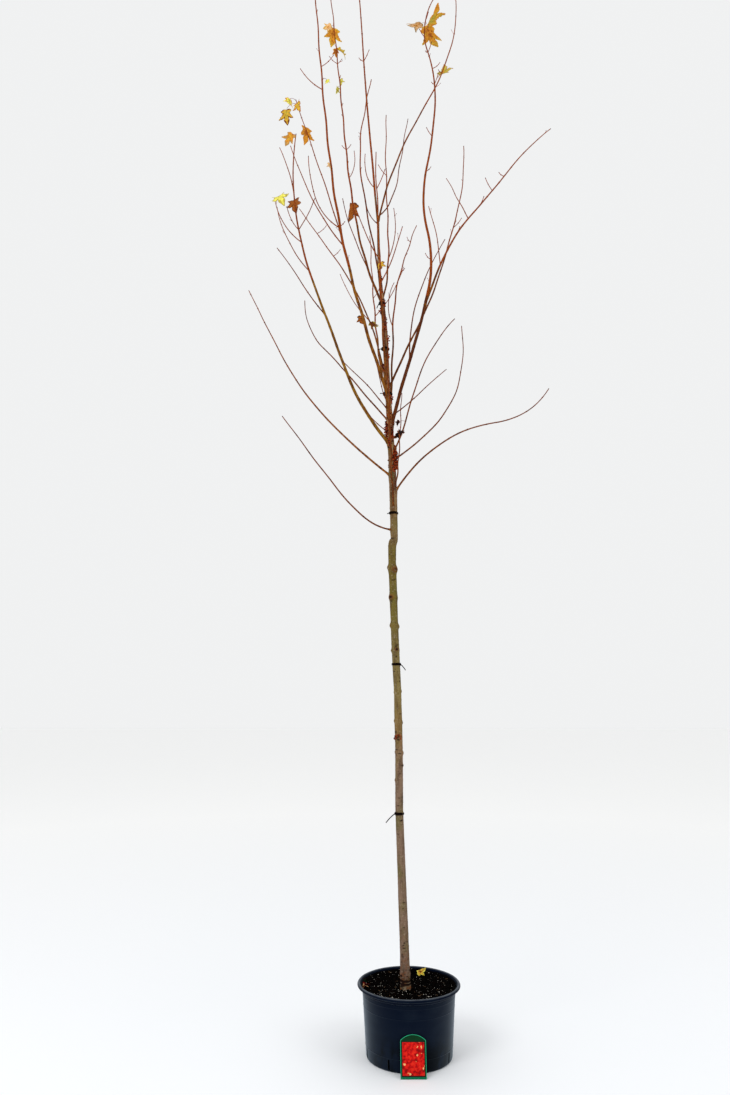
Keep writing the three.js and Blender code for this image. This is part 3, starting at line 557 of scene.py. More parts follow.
# Layers of colour over the stem's bark, the boughs' bark, the pot and the floor
BARK_LAYERS = (
    Layer(BARK_SHADE, 70, 0.45, 0.68, 0.7, 4, 0.16),
    Layer(BARK_TAN, 85, 0.5, 0.6, 0.55, 3, 0.06, leader_only=True),
    Layer(BARK_RED, 60, 0.5, 0.6, 0.9, 3, 0.1, leader_only=True),
    Layer(BARK_MOSS, 16, 0.52, 0.68, 0.55, 3, 0.5),
    Layer(BARK_PALE, 230, 0.56, 0.7, 0.5, 2),
    Layer(BARK_SHADE, 150, 0.6, 0.7, 0.6),
)
BOUGH_LAYERS = (
    Layer(BOUGH_SHADE, 75, 0.45, 0.6, 0.75, 4, 0.35),
    Layer(BARK_PALE, 300, 0.62, 0.72, 0.3, 2),
)
POT_LAYERS = (
    Layer(POT_DUST, 9, 0.45, 0.75, 0.3, 5, 2.2),
    Layer(POT_DUST, 60, 0.64, 0.78, 0.25, 4, 0.25),
)
DAMP_STAINS = Layer(POT_DAMP, 15, 0.43, 0.53, 1, 4, 0.55)
FLOOR_MOTTLE = Layer(FLOOR_NEAR, 1.2, 0.3, 0.7, 0.02)
# Heights over which the leader's own colours start on the stem
LEADER_COLOURS = (2.2, 2.5)
# The pot's dust lies thicker towards its foot, and its damp stains reach up from there: heights
# from most to none, and how much at most
FOOT_DUST = (0.03, 0.24, 0.16)
FOOT_DAMP = (0.07, 0.14, 0.9)

# Materials of one grained colour: the colour, its roughness, the grain's waves per metre, how dark
# the grain is beside the colour, the depth of its bumps, and the gloss
GRAINED_LOOKS = {
    "compost_dark": ((0.0009, 0.0006, 0.0005), 0.95, 90, 0.5, 0.002, 0.01),
    "compost_brown": ((0.0045, 0.0018, 0.001), 0.95, 150, 0.5, 0.001, 0.015),
    "pale_fleck": ((0.62, 0.58, 0.5), 0.8, 260, 0.7, 0.0004, 0.4),
    "straw": ((0.16, 0.085, 0.032), 0.8, 260, 0.6, 0.0004, 0.4),
    "bud_scales": ((0.06, 0.012, 0.007), 0.5, 500, 0.5, 0.0004, 0.4),
    "flower_bud_red": ((0.34, 0.045, 0.007), 0.7, 400, 0.5, 0.0004, 0.1),
    "flower_bud_brown": ((0.07, 0.007, 0.003), 0.7, 400, 0.5, 0.0004, 0.1),
    "leaf_stalk": ((0.2, 0.028, 0.014), 0.5, 200, 0.6, 0.0004, 0.4),
    "tie_rubber": ((0.005, 0.0013, 0.0004), 0.8, 300, 0.6, 0.0004, 0.05),
    "card_green": ((0.002, 0.034, 0.01), 0.6, 120, 0.8, 0.0002, 0.06),
    "card_mint": ((0.03, 0.5, 0.25), 0.6, 120, 0.85, 0.0002, 0.06),
    "card_ink": ((0.012, 0.012, 0.01), 0.6, 120, 0.8, 0.0002, 0.06),
    "card_teal": ((0.004, 0.16, 0.07), 0.6, 120, 0.8, 0.0002, 0.06),
}
# What follows the colour in the same way, for every wood and for every tint of a leaf
WOOD_GRAIN = (0.7, 160, 0.55, 0.0004, 0.06)
LEAF_GRAIN = (0.7, 110, 0.68, 0.0005, 0.1)

# The camera stands before the tree, a little to its left, and looks up at it
CAMERA_PLACE = (-0.187, -3.87, 1.525)
CAMERA_PITCH = 9.5
SENSOR = 36
FOCAL_LENGTH = 27.78
# Soft lamps before the tree: name, place, what they point at, width and power
LAMPS = (("left_lamp", (-4.2, -4.8, 6.2), (0, 0, 2.4), 3.5, 190),
         ("right_lamp", (4.6, -3.6, 5.2), (0, 0, 2), 4, 80))
FLOOR_SIZE = 30


def mix(a, b, share):
    return a + (b - a) * share


def heading_vector(heading, lean=90.0):
    outwards = math.sin(math.radians(lean))
    return np.array([
        outwards * math.cos(math.radians(heading)),
        outwards * math.sin(math.radians(heading)),
        math.cos(math.radians(lean)),
    ])


def unit(vector):
    return vector / np.linalg.norm(vector)


def read_list(values, share):
    """A value read from an evenly spaced list."""
    return float(np.interp(share, np.linspace(0, 1, len(values)), values))


def seeded_random(seed):
    """A generator of even random numbers from 0 to 1, the same for the same seed."""
    state = seed
    while True:
        state = (state * 1664525 + 1013904223) % 4294967296
        yield state / 4294967296


def noise_at(points, scale):
    """Smooth noise from about -1 to 1 at each point, with a number of waves per metre."""
    scaled = (points * np.asarray(scale, float)).reshape(-1, 3)
    return np.array([noise.noise(Vector(p)) for p in scaled]).reshape(points.shape[:-1])


def bell(distance, reach):
    """1 at no distance, fading to about a third at the reach."""
    return np.exp(-(distance / reach) ** 2)


def circle(count):
    """Angles spaced evenly round a circle."""
    return np.arange(count) * (2 * np.pi / count)


# Meshes

class Shape:
    """Points and faces gathered for one mesh, with a material number per face and a tone per point."""

    def __init__(self):
        self.points = []
        self.tones = []
        self.faces = []
        self.marks = []
        self.count = 0

    def add(self, points, faces, marks, tones=(0, 0, 0)):
        points = np.asarray(points, float).reshape(-1, 3)
        self.points.append(points)
        self.tones.append(np.broadcast_to(tones, points.shape))
        for rows, mark in zip(faces, marks):
            self.faces.append(np.asarray(rows) + self.count)
            self.marks.append(np.broadcast_to(mark, len(rows)))
        self.count += len(points)

    def mesh(self, name):
        mesh = bpy.data.meshes.new(name)
        sizes = np.concatenate([np.full(len(rows), rows.shape[1]) for rows in self.faces])
        corners = np.concatenate([rows.ravel() for rows in self.faces])
        mesh.vertices.add(self.count)
        mesh.vertices.foreach_set("co", np.concatenate(self.points).astype(np.float32).ravel())
        mesh.loops.add(len(corners))
        mesh.loops.foreach_set("vertex_index", corners.astype(np.int32))
        mesh.polygons.add(len(sizes))
        mesh.polygons.foreach_set("loop_start", (np.cumsum(sizes) - sizes).astype(np.int32))
        mesh.polygons.foreach_set("material_index", np.concatenate(self.marks).astype(np.int32))
        mesh.polygons.foreach_set("use_smooth", np.ones(len(sizes), bool))
        tone = mesh.attributes.new("tone", "FLOAT_COLOR", "POINT")
        colours = np.ones((self.count, 4), np.float32)
        colours[:, :3] = np.concatenate(self.tones)
        tone.data.foreach_set("color", colours.ravel())
        mesh.update(calc_edges=True)
        return mesh


def new_object(name, data):
    thing = bpy.data.objects.new(name, data)
    bpy.context.scene.collection.objects.link(thing)
    return thing


def make_piece(name, shape, materials, slot, *nodes):
    """A piece of the plant or its pot, which stands for the named solids."""
    piece = new_object(name, shape.mesh(name))
    for material in materials:
        piece.data.materials.append(material)
    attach(piece, "root")
    if nodes:
        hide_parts(*nodes)
    return piece


def band_faces(rows, columns, bands):
    """Faces between rings of points. With as many bands as rows, the last ring meets the first."""
    i, j = np.meshgrid(np.arange(bands), np.arange(columns), indexing="ij")
    low, high = i * columns, (i + 1) % rows * columns
    after = (j + 1) % columns
    return np.stack([low + j, low + after, high + after, high + j], axis=-1).reshape(-1, 4)


def add_rings(shape, rings, start, end, marks=0, tones=(0, 0, 0)):
    """A closed skin over rings of points, with a point that closes each end.

    "marks" is one material number, one for each band between two rings, or one for each of its faces.
    """
    rows, columns = rings.shape[:2]
    around = np.arange(columns)
    after = (around + 1) % columns
    last = (rows - 1) * columns
    centre = np.full(columns, rows * columns)
    first_cap = np.stack([centre, after, around], axis=-1)
    last_cap = np.stack([centre + 1, last + around, last + after], axis=-1)
    marks = np.asarray(marks)
    face_marks = np.broadcast_to(marks[:, None] if marks.ndim == 1 else marks, (rows - 1, columns))
    points = np.concatenate([rings.reshape(-1, 3), [start, end]])
    if np.ndim(tones) > 1:
        flat = tones.reshape(-1, 3)
        tones = np.concatenate([flat, flat[:1], flat[-1:]])
    shape.add(points, [band_faces(rows, columns, rows - 1), first_cap, last_cap],
              [face_marks.ravel(), face_marks[0], face_marks[-1]], tones)


def add_loop(shape, rings):
    """A closed skin over rings of points whose last ring meets the first."""
    rows, columns = rings.shape[:2]
    shape.add(rings, [band_faces(rows, columns, rows)], [0])


def frames_along(points):
    """The direction at each point of a line, and two directions square to it.

    The two turn as little as can be from one point to the next.
    """
    along = np.gradient(points, axis=0)
    along /= np.linalg.norm(along, axis=1, keepdims=True)
    helper = np.array([1.0, 0, 0]) if abs(along[0][0]) < 0.9 else np.array([0, 1.0, 0])
    across = np.empty_like(along)
    for i, direction in enumerate(along):
        helper = unit(helper - helper.dot(direction) * direction)
        across[i] = helper
    return along, across, np.cross(along, across)


def ring_directions(across, other, sides):
    angles = circle(sides)
    return np.cos(angles)[:, None] * across[:, None, :] + np.sin(angles)[:, None] * other[:, None, :]


def add_tube(shape, points, radii, sides, marks=0, tones=(0, 0, 0)):
    """A closed tube with rounded ends. "radii" has one radius per point, or one per point and side."""
    along, across, other = frames_along(points)
    radii = np.asarray(radii, float)
    spread = radii[:, None, None] if radii.ndim == 1 else radii[:, :, None]
    rings = points[:, None, :] + spread * ring_directions(across, other, sides)
    start = points[0] - along[0] * radii[0].mean() * 0.4
    end = points[-1] + along[-1] * radii[-1].mean() * 0.8
    if np.ndim(tones) == 2:
        tones = np.repeat(tones[:, None, :], sides, axis=1)
    add_rings(shape, rings, start, end, marks, tones)


def add_bead(shape, foot, axis, length, radius, sides=6, marks=0, rough=None):
    """A bud, crumb or knot: a closed form that bulges along its axis.

    "rough" is a generator that dents it.
    """
    axis = unit(np.asarray(axis, float))
    line = np.array([foot + axis * (length * up) for up, _ in BEAD])
    _, across, other = frames_along(line)
    wide = np.array([share for _, share in BEAD])[:, None] * radius
    if rough is not None:
        wide = wide * rough.uniform(0.7, 1.3, (len(BEAD), sides))
    rings = line[:, None, :] + (wide * np.ones(sides))[:, :, None] * ring_directions(across, other, sides)
    add_rings(shape, rings, foot, foot + axis * length, marks)


# Growth

STATIONS = np.array(STEM_STATIONS)


def stem_at(height):
    shift = np.interp(height, STATIONS[:, 0], STATIONS[:, 1])
    radius = np.interp(height, STATIONS[:, 0], STATIONS[:, 2])
    return np.array([shift, 0, height]), float(radius)


def grow_line(limb, foot):
    """Points of a growing limb, one growth step apart."""
    steps = max(LEAST_STEPS, math.floor(limb.length / STEP + 0.5))
    step = limb.length / steps
    spine = np.array(foot, float)
    points = [spine.copy()]
    sideways = heading_vector(limb.heading + 90)
    for i in range(steps):
        share = (i + 0.5) / steps
        heading = limb.heading + limb.turn * share
        spine = spine + heading_vector(heading, read_list(limb.leans, share)) * step
        distance = (i + 1) * step
        fade = min(1, distance / SWAY_ROOT_FADE) * SWAY_SIZE
        phase = 2 * math.pi * distance / SWAY_WAVE + math.radians(limb.heading)
        points.append(spine + sideways * (fade * math.sin(phase)))
    return np.array(points)


def points_on(line, shares):
    """Points at shares of a line that has even steps."""
    steps = np.linspace(0, 1, len(line))
    return np.stack([np.interp(shares, steps, line[:, k]) for k in range(3)], axis=-1)


def foot_of(limb, lines):
    if limb.on != STEM:
        return points_on(lines[limb.on], limb.at)
    centre, radius = stem_at(limb.at)
    if limb is TIP:
        return centre + np.array([0, 0, GAP])
    return centre + heading_vector(limb.heading) * (radius - limb.thick[0] * FOOT_SINK)


def grow_crown():
    """The line of every bough, shoot and long twig, by name."""
    lines = {}
    for limb in (*BOUGHS, TIP, *TWIGS):
        lines[limb.name] = grow_line(limb, foot_of(limb, lines))
    return lines


def is_clear(points, name, lines):
    """Whether a side twig keeps clear of every limb but its own."""
    others = np.concatenate([line for other, line in lines.items() if other != name])
    gaps = np.linalg.norm(points[1:, None, :] - others[None, :, :], axis=2)
    return gaps.min() > SIDE_CLEARANCE


def side_twigs(limb, index, lines):
    """Short side twigs of a shoot, as limbs with their lines, without those that come near another limb."""
    random = seeded_random(SIDE_SEED + index)
    first = limb.mass * limb.length + SIDE_NODE_SPACING
    twigs = []
    for node in range(int((limb.length - first) / SIDE_NODE_SPACING)):
        at = (first + node * SIDE_NODE_SPACING) / limb.length
        for side in (0, 180):
            kept = next(random) < SIDE_CHANCE
            length = mix(*SIDE_LENGTHS, next(random))
            heading = limb.heading + 45 + 90 * (node % 2) + side
            twig = Limb(f"{limb.name}_side", limb.name, at, heading, SIDE_LEANS, length, SIDE_THICK)
            line = grow_line(twig, points_on(lines[limb.name], at))
            if kept and is_clear(line, limb.name, lines):
                twigs.append((twig, line))
    return twigs


# Wood

def jog_share(height, angle):
    """How far the stem has passed from the old stem to the leader: a rounded shoulder at the left."""
    rise = np.clip((height - JOG[0]) / (JOG[1] - JOG[0]), 0, 1)
    shoulder = 1 - np.sqrt(1 - rise ** 2)
    slope = rise ** 2 * (3 - 2 * rise)
    leftness = (1 - np.cos(angle)) / 2
    return mix(slope, shoulder, leftness), leftness


def angle_gap(angle, heading):
    return (angle - math.radians(heading) + np.pi) % (2 * np.pi) - np.pi


class Bark:
    """Rings of points on the stem's bark: how far it stands out at each, and its tones."""

    def __init__(self, height, angle, radius, surface):
        self.height = height
        self.angle = angle
        self.radius = radius
        self.surface = surface
        self.foot = height[0, 0]
        self.relief = np.zeros_like(height)
        self.tones = np.zeros((*height.shape, 3))

    def spot(self, height, heading, rise, width, rows=slice(None)):
        """A soft spot by its reach up and round the stem: 1 at its middle, fading outwards."""
        up = (self.height[rows] - height) / rise
        around = angle_gap(self.angle[rows], heading) * self.radius[rows] / width
        return np.exp(-(up ** 2 + around ** 2))

    def band(self, height, reach):
        """A soft band round the stem: 1 at its height, fading up and down."""
        return bell(self.height - height, reach)

    def around(self, rise):
        """Places for noise that meets itself round the stem."""
        return np.stack([np.cos(self.angle), np.sin(self.angle), self.height * rise], axis=-1)

    def add_tone(self, number, values, rows=slice(None)):
        self.tones[rows, :, number] = np.maximum(self.tones[rows, :, number], values)


def roughen(bark):
    """Humps, furrows that grow shallow up the stem, and cracks."""
    furrowed = np.interp(bark.height, FURROWS_FADE, (1, FURROWS_LEAST))
    for (size, waves), share in ((BARK_HUMPS, 1), (BARK_FURROWS, furrowed), (BARK_CRACKS, 1)):
        bark.relief += size * share * noise_at(bark.surface, waves)


def add_scars(bark):
    """Healed pruning cuts, each on a low ring that runs round the stem."""
    for height, heading, darkness, size in SCARS:
        reach = SCAR_SIZE * size
        spot = bark.spot(height, heading, reach, reach)
        swelling = spot ** 0.8
        heart = spot ** 2.2
        ring = bark.band(height, reach) ** 0.6
        bark.relief += size * (SCAR_RISE * (swelling - SCAR_HOLLOW * heart) + size * RING_RISE * ring)
        bark.add_tone(SCAR_AND_SHADE_TONE, heart * darkness)
        bark.add_tone(RIND_TONE, np.maximum(swelling, ring * RING_ORANGE) * darkness * size)


def add_collars(bark):
    """Swellings under the boughs, with a painted shadow below each."""
    width, rise = STEM_COLLAR_REACH
    for limb in BOUGHS:
        if limb.on == STEM:
            middle = limb.at - STEM_COLLAR_DROP
            swell = bark.spot(middle, limb.heading, rise, width) * limb.thick[0] / STEM_COLLAR_BOUGH
            bark.relief += STEM_COLLAR_RISE * swell
            # Painted shadow: the bark darkens below each swelling
            in_shadow = bark.height < middle - STEM_COLLAR_SHADOW_START
            bark.add_tone(SCAR_AND_SHADE_TONE, STEM_COLLAR_SHADE * swell * in_shadow)


def add_stains(bark):
    mottle = 1 + noise_at(bark.surface, STAIN_WAVES)
    for height, heading, rise, width, darkness in STAINS:
        bark.add_tone(SCAR_AND_SHADE_TONE, bark.spot(height, heading, rise, width) * mottle * darkness)


def add_lenticels(bark, random):
    for _ in range(LENTICEL_COUNT):
        height = mix(bark.foot, LENTICELS_TO, random.random())
        heading = random.uniform(0, 360)
        size = random.uniform(*LENTICEL_SIZES)
        rows = slice(*np.searchsorted(bark.height[:, 0], (height - 3 * size, height + 3 * size)))
        spot = bark.spot(height, heading, size, size * LENTICEL_STRETCH, rows)
        bark.relief[rows] += LENTICEL_RISE * spot
        bark.add_tone(LENTICEL_TONE, spot, rows)


def add_dashes(bark, random):
    """Small dark dashes: the plain ones, and others at random."""
    others = [(random.uniform(bark.foot, DASHES_TO), random.uniform(0, 360)) for _ in range(DASH_COUNT)]
    for height, heading in (*DASHES, *others):
        rise = random.uniform(*DASH_REACHES_UP)
        dash = bark.spot(height, heading, rise, random.uniform(*DASH_REACHES_ROUND))
        bark.relief += DASH_RISE * dash
        bark.add_tone(SCAR_AND_SHADE_TONE, dash * random.uniform(*DASH_DARKNESS))


def add_foot(bark):
    """Lobes of the root flare, the grooves above them with painted shade in them, and blotches and
    wrinkles.
    """
    above = bark.height - bark.foot
    lobes = 0.5 + 0.5 * np.cos(5 * bark.angle + 0.6) * np.cos(2 * bark.angle)
    bark.relief += FLARE_SIZE * lobes * np.exp(-above / FLARE_FADE)
    for groove in FOOT_GROOVES:
        cut = bark.band(groove + GROOVE_WAVE * np.sin(2 * bark.angle), GROOVE_REACH)
        bark.relief -= GROOVE_DEPTH * cut
        # Painted shade in the grooves
        bark.add_tone(SCAR_AND_SHADE_TONE, cut * GROOVE_SHADE)
    blotches = 3 * noise_at(bark.around(60), 1.7)
    near = np.exp(-above / BLOTCHES_FADE)
    bark.add_tone(LENTICEL_TONE, np.clip(blotches, 0, 1) * near)
    bark.add_tone(RIND_TONE, np.clip(-blotches, 0, 1) * near)
    wrinkles = np.clip(noise_at(bark.around(130), 1) * 2.4 - 0.5, 0, 0.7)
    bark.add_tone(SCAR_AND_SHADE_TONE, wrinkles * np.exp(-above / WRINKLES_FADE))


def dress_bark(bark):
    random = np.random.default_rng(BARK_SEED)
    roughen(bark)
    add_scars(bark)
    add_collars(bark)
    add_stains(bark)
    add_lenticels(bark, random)
    add_dashes(bark, random)
    add_foot(bark)


def stem_values(height, share, column):
    """The stem's shifts or radii, which pass from the old stem's to the leader's at the jog."""
    low = np.interp(np.minimum(height, JOG_STATIONS[0]), STATIONS[:, 0], STATIONS[:, column])
    high = np.interp(np.maximum(height, JOG_STATIONS[1]), STATIONS[:, 0], STATIONS[:, column])
    return mix(low, high, share)


def make_trunk(material):
    heights = np.arange(SOIL_LEVEL + GAP, STATIONS[-1, 0], STEM_RING_STEP)
    heights = np.append(heights, STATIONS[-1, 0])
    height, angle = np.meshgrid(heights, circle(STEM_SIDES), indexing="ij")
    share, leftness = jog_share(height, angle)
    shift = stem_values(height, share, 1)
    radius = stem_values(height, share, 2)
    directions = np.stack([np.cos(angle), np.sin(angle), np.zeros_like(angle)], axis=-1)
    centres = np.stack([shift, np.zeros_like(shift), height], axis=-1)
    bark = Bark(height, angle, radius, centres + radius[..., None] * directions)
    dress_bark(bark)
    # Painted shade in the crease on the jog's left
    bark.add_tone(SCAR_AND_SHADE_TONE, bark.band(*JOG_CREASE_SHADE) * leftness)
    swell_height, swell_reach, swell_rise = LEADER_SWELL
    swell = swell_rise * bark.band(swell_height, swell_reach)
    relief = bark.relief * np.clip(radius / FULL_BARK_RADIUS, LEAST_BARK, 1)
    rings = centres + (radius + swell + relief)[..., None] * directions
    shape = Shape()
    add_rings(shape, rings, centres[0].mean(0), centres[-1].mean(0), 0, bark.tones)
    make_piece("trunk", shape, [material], "bark", "stem")


def node_places(length, first=FIRST_NODE):
    return np.arange(first, length - 0.01, NODE_SPACING)


def limb_radii(limb, shares):
    """Radii along a limb, with a slight swelling at each node."""
    radii = mix(limb.thick[0], limb.thick[1], shares) / 2 + RIND
    for place in node_places(limb.length):
        radii = radii * (1 + NODE_RISE * bell(shares * limb.length - place, NODE_REACH))
    return radii


def make_bough(limb, line, material, index):
    """A bough with its bark, from its collar at the stem to where it ends or its young shoot goes on."""
    rings = max(6, round(limb.length * limb.mass / BOUGH_RING_STEP))
    shares = np.linspace(0, limb.mass, rings)
    points = points_on(line, shares)
    radii = limb_radii(limb, shares)
    radii = radii * (1 + COLLAR_SWELL * bell(shares * limb.length, COLLAR_FADE))
    _, across, other = frames_along(points)
    surface = points[:, None, :] + radii[:, None, None] * ring_directions(across, other, BOUGH_SIDES)
    fine, coarse = BOUGH_WAVES
    dents = BOUGH_DENT * (noise_at(surface, fine) + noise_at(surface + index, coarse))
    redness = np.interp(radii, BOUGH_REDDENS, (1, 0))
    olive, shade = BOUGH_TONES.get(limb.name, BOUGH_TONE)
    tones = np.stack([redness, np.full_like(radii, olive), np.full_like(radii, shade)], axis=-1)
    shape = Shape()
    add_tube(shape, points, radii[:, None] * (1 + dents), BOUGH_SIDES, 0, tones)
    make_piece(f"bark_{limb.name}", shape, [material], "bough", f"bough_{limb.name}")


def wood_marks(radii):
    """The wood of each band of a shoot, by its thickness."""
    thicknesses = radii[1:] + radii[:-1]
    return np.array([next(k for k, (least, _) in enumerate(SHOOT_WOODS) if thickness >= least)
                     for thickness in thicknesses])


def add_shoot(shape, limb, line, sides=SHOOT_SIDES):
    """The young wood of a limb, from its mass on."""
    length = limb.length * (1 - limb.mass)
    shares = np.linspace(limb.mass, 1, max(5, round(length / SHOOT_RING_STEP)))
    radii = limb_radii(limb, shares)
    add_tube(shape, points_on(line, shares), radii, sides, wood_marks(radii))


def add_bud_pair(shape, point, along, side, radius, size=1.0):
    """Two buds that face each other across a limb, and lean along it."""
    for sign in (1, -1):
        axis = unit(along + sign * side * BUD_LEAN)
        foot = point + sign * side * (radius * BUD_SEAT)
        add_bead(shape, foot, axis, BUD_LENGTH * size, BUD_RADIUS * size, 5)


def add_tip_buds(shape, tip, along, side, size=1.0):
    """The three buds at the end of a shoot."""
    longer, thicker = TIP_BUD
    foot = tip - along * TIP_BUD_SUNK
    add_bead(shape, foot, along, BUD_LENGTH * longer * size, BUD_RADIUS * thicker * size, 6)
    pair = tip - along * TIP_BUD_SUNK * 2
    add_bud_pair(shape, pair, along, side, SPUR_THICK[1] / 2, size * TIP_SIDE_BUDS)


def dress_limb(limb, line, twigs, buds, random, start=0.0, first=FIRST_NODE):
    """Buds at the nodes of a limb past its share "start", with a few spurs where "twigs" takes them."""
    line_steps = len(line) * 4
    fine = points_on(line, np.linspace(0, 1, line_steps))
    along, across, other = frames_along(fine)
    for number, place in enumerate(node_places(limb.length, first)):
        share = place / limb.length
        if share < start:
            continue
        k = min(round(share * (line_steps - 1)), line_steps - 1)
        turn = math.radians(limb.heading + 90 * (number % 2))
        side = unit(math.cos(turn) * across[k] + math.sin(turn) * other[k])
        radius = float(mix(limb.thick[0], limb.thick[1], share)) / 2
        add_bud_pair(buds, fine[k], along[k], side, radius, random.uniform(*BUD_SIZES))
        if twigs is None:
            continue
        for sign in (1, -1):
            if random.random() < SPUR_CHANCE:
                add_spur(twigs, buds, fine[k], along[k], sign * side, random)
    add_tip_buds(buds, line[-1], along[-1], across[-1], 1.1)


def add_spur(twigs, buds, foot, along, side, random):
    """A short spur that leans out of a shoot and turns up."""
    length = random.uniform(*SPUR_LENGTHS)
    lean = math.radians(SPUR_LEAN)
    out = unit(along * math.cos(lean) + side * math.sin(lean))
    up = unit(out + np.array([0, 0, 0.5]))
    bend = foot + out * length * 0.5
    points = np.array([foot, foot + out * length * 0.25, bend, bend + up * length * 0.25,
                       bend + up * length * 0.5])
    radii = np.linspace(SPUR_THICK[0], SPUR_THICK[1], len(points)) / 2
    add_tube(twigs, points, radii, 5, len(SHOOT_WOODS) - 1)
    add_tip_buds(buds, points[-1], up, unit(np.cross(up, side + 0.01)), 0.85)


def make_crown(lines, bark, woods, bud_material):
    """Boughs, young shoots with their twigs and spurs, and buds on all of them."""
    buds = Shape()
    for index, limb in enumerate(BOUGHS):
        make_bough(limb, lines[limb.name], bark, index)
    carriers = [limb for limb in (*BOUGHS, TIP) if limb.mass < 1]
    for index, limb in enumerate(carriers):
        random = np.random.default_rng(SHOOT_SEED + index)
        shoots = Shape()
        add_shoot(shoots, limb, lines[limb.name])
        dress_limb(limb, lines[limb.name], shoots, buds, random, limb.mass)
        twigs = [(twig, lines[twig.name]) for twig in TWIGS if twig.on == limb.name]
        for twig, line in twigs + side_twigs(limb, index, lines):
            add_shoot(shoots, twig._replace(mass=0), line, TWIG_SIDES)
            first = min(FIRST_NODE, twig.length / 2)
            dress_limb(twig, line, shoots, buds, random, 0, first)
        make_piece(f"shoots_{limb.name}", shoots, woods, "twig", f"twigs_{limb.name}")
    for index, limb in enumerate(BOUGHS):
        if limb.mass == 1:
            dress_limb(limb, lines[limb.name], None, buds, np.random.default_rng(BOUGH_SEED + index))
    make_piece("buds", buds, [bud_material], "twig")


def add_cluster_bud(buds, spurs, place, heading, nearness, random):
    """A flower bud on a spur that springs from the leader. Spurs are longer near a patch's middle."""
    centre, radius = stem_at(place)
    out = heading_vector(heading + random.normal(0, CLUSTER_SCATTER), random.uniform(*CLUSTER_LEANS))
    foot = centre + heading_vector(heading) * (radius - CLUSTER_SUNK)
    length = random.uniform(*CLUSTER_SPURS) * nearness
    line = np.array([foot, foot + out * length * 0.5, foot + out * length])
    add_tube(spurs, line, np.array(CLUSTER_SPUR_RADII), 5)
    bud_length, bud_radius = np.array(CLUSTER_BUD) * random.uniform(*CLUSTER_SIZES)
    brown = int(random.random() < CLUSTER_BROWN_SHARE)
    add_bead(buds, foot + out * length * 0.85, out, bud_length, bud_radius, 7, brown)


def make_bud_clusters(materials, wood):
    """Crowded red flower buds on short spurs round the crown's base."""
    random = np.random.default_rng(CLUSTER_SEED)
    buds, spurs = Shape(), Shape()
    for height, heading, count, half_height, half_turn in BUD_CLUSTERS:
        for _ in range(count):
            reach = math.sqrt(random.random())
            turn = random.uniform(0, 2 * math.pi)
            place = height + half_height * reach * math.sin(turn)
            out_heading = heading + half_turn * reach * math.cos(turn)
            add_cluster_bud(buds, spurs, place, out_heading, 1.2 - reach, random)
    make_piece("flower_buds", buds, materials, "twig")
    make_piece("flower_spurs", spurs, [wood], "twig")


# Leaves

def blade_outline():
    """A blade's toothed outline of length 1, from the stalk's end up the right side and down the left."""
    half = np.array(BLADE_HALF)
    right = []
    for foot, head in zip(half[:-1], half[1:]):
        edge = head - foot
        out = unit(np.array([edge[1], -edge[0]]))
        for k in range(EDGE_TEETH):
            right.append(foot + edge * k / EDGE_TEETH + out * TOOTH_SIZE * (k % 2))
    right.append(half[-1])
    left = [np.array([-x, y]) for x, y in reversed(right[:-1])]
    return np.array(right + left)


def vein_depth(x, y):
    """How near each place of a blade is to one of its main veins, from 0 to 1."""
    depth = np.zeros_like(x)
    for end_x, end_y in BLADE_VEINS:
        length = math.hypot(end_x, end_y)
        along = np.clip((x * end_x + y * end_y) / length ** 2, 0, 1)
        gap = np.hypot(x - along * end_x, y - along * end_y)
        depth = np.maximum(depth, bell(gap, VEIN_WIDTH))
    return depth


def bent(distance, curl):
    """How far a strip reaches along and rises, once it is rolled to a curl."""
    return np.sin(distance * curl) / curl, (1 - np.cos(distance * curl)) / curl


def blade_surface(curl, shift):
    """Rings of a curled blade of length 1 in its own axes, from its centre out, and their tints."""
    outline = blade_outline()
    shares = (np.arange(BLADE_RINGS) + 1)[:, None] / BLADE_RINGS
    flat = np.array(BLADE_CENTRE) + (outline - BLADE_CENTRE)[None] * shares[:, :, None]
    x, y = flat[..., 0], flat[..., 1]
    edge = np.hypot(x, y - BLADE_CENTRE[1])
    ripple = BLADE_RIPPLE * edge
    ripple *= np.sin(RIPPLE_TURNS[0] * x + shift) * np.cos(RIPPLE_TURNS[1] * y + shift)
    across, lift = bent(x, curl[0])
    along, sag = bent(y, curl[1])
    veins = vein_depth(x, y)
    height = lift - sag + ripple - VEIN_DEPTH * veins
    places = np.stack([x, y, np.full_like(x, shift)], axis=-1)
    mottle = shares + TINT_NOISE * noise_at(places, TINT_NOISE_WAVES) - TINT_VEINS * veins
    tints = (mottle[1:] > TINT_STEPS[0]).astype(int) + (mottle[1:] > TINT_STEPS[1])
    return np.stack([across, along, height], axis=-1), tints


def add_blade(shape, leaf, foot, across, along, number):
    """A thin closed blade, with the leaf's tints dealt out over its faces."""
    surface, tints = blade_surface(leaf.curl, number * BLADE_SHIFT)
    face = np.cross(across, along)
    placed = foot + surface @ np.array([across, along, face]) * leaf.size
    thickness = face * BLADE_THICKNESS / 2
    rings = np.concatenate([placed - thickness, placed[::-1] + thickness])
    numbers = np.array([list(TINTS).index(tint) for tint in leaf.tints])
    marks = numbers[np.concatenate([tints, tints[-1:], tints[::-1]])]
    add_rings(shape, rings, rings[0].mean(0), rings[-1].mean(0), marks)


def turned(vector, axis, degrees):
    """A vector turned about an axis."""
    angle = math.radians(degrees)
    return (vector * math.cos(angle) + np.cross(axis, vector) * math.sin(angle)
            + axis * axis.dot(vector) * (1 - math.cos(angle)))


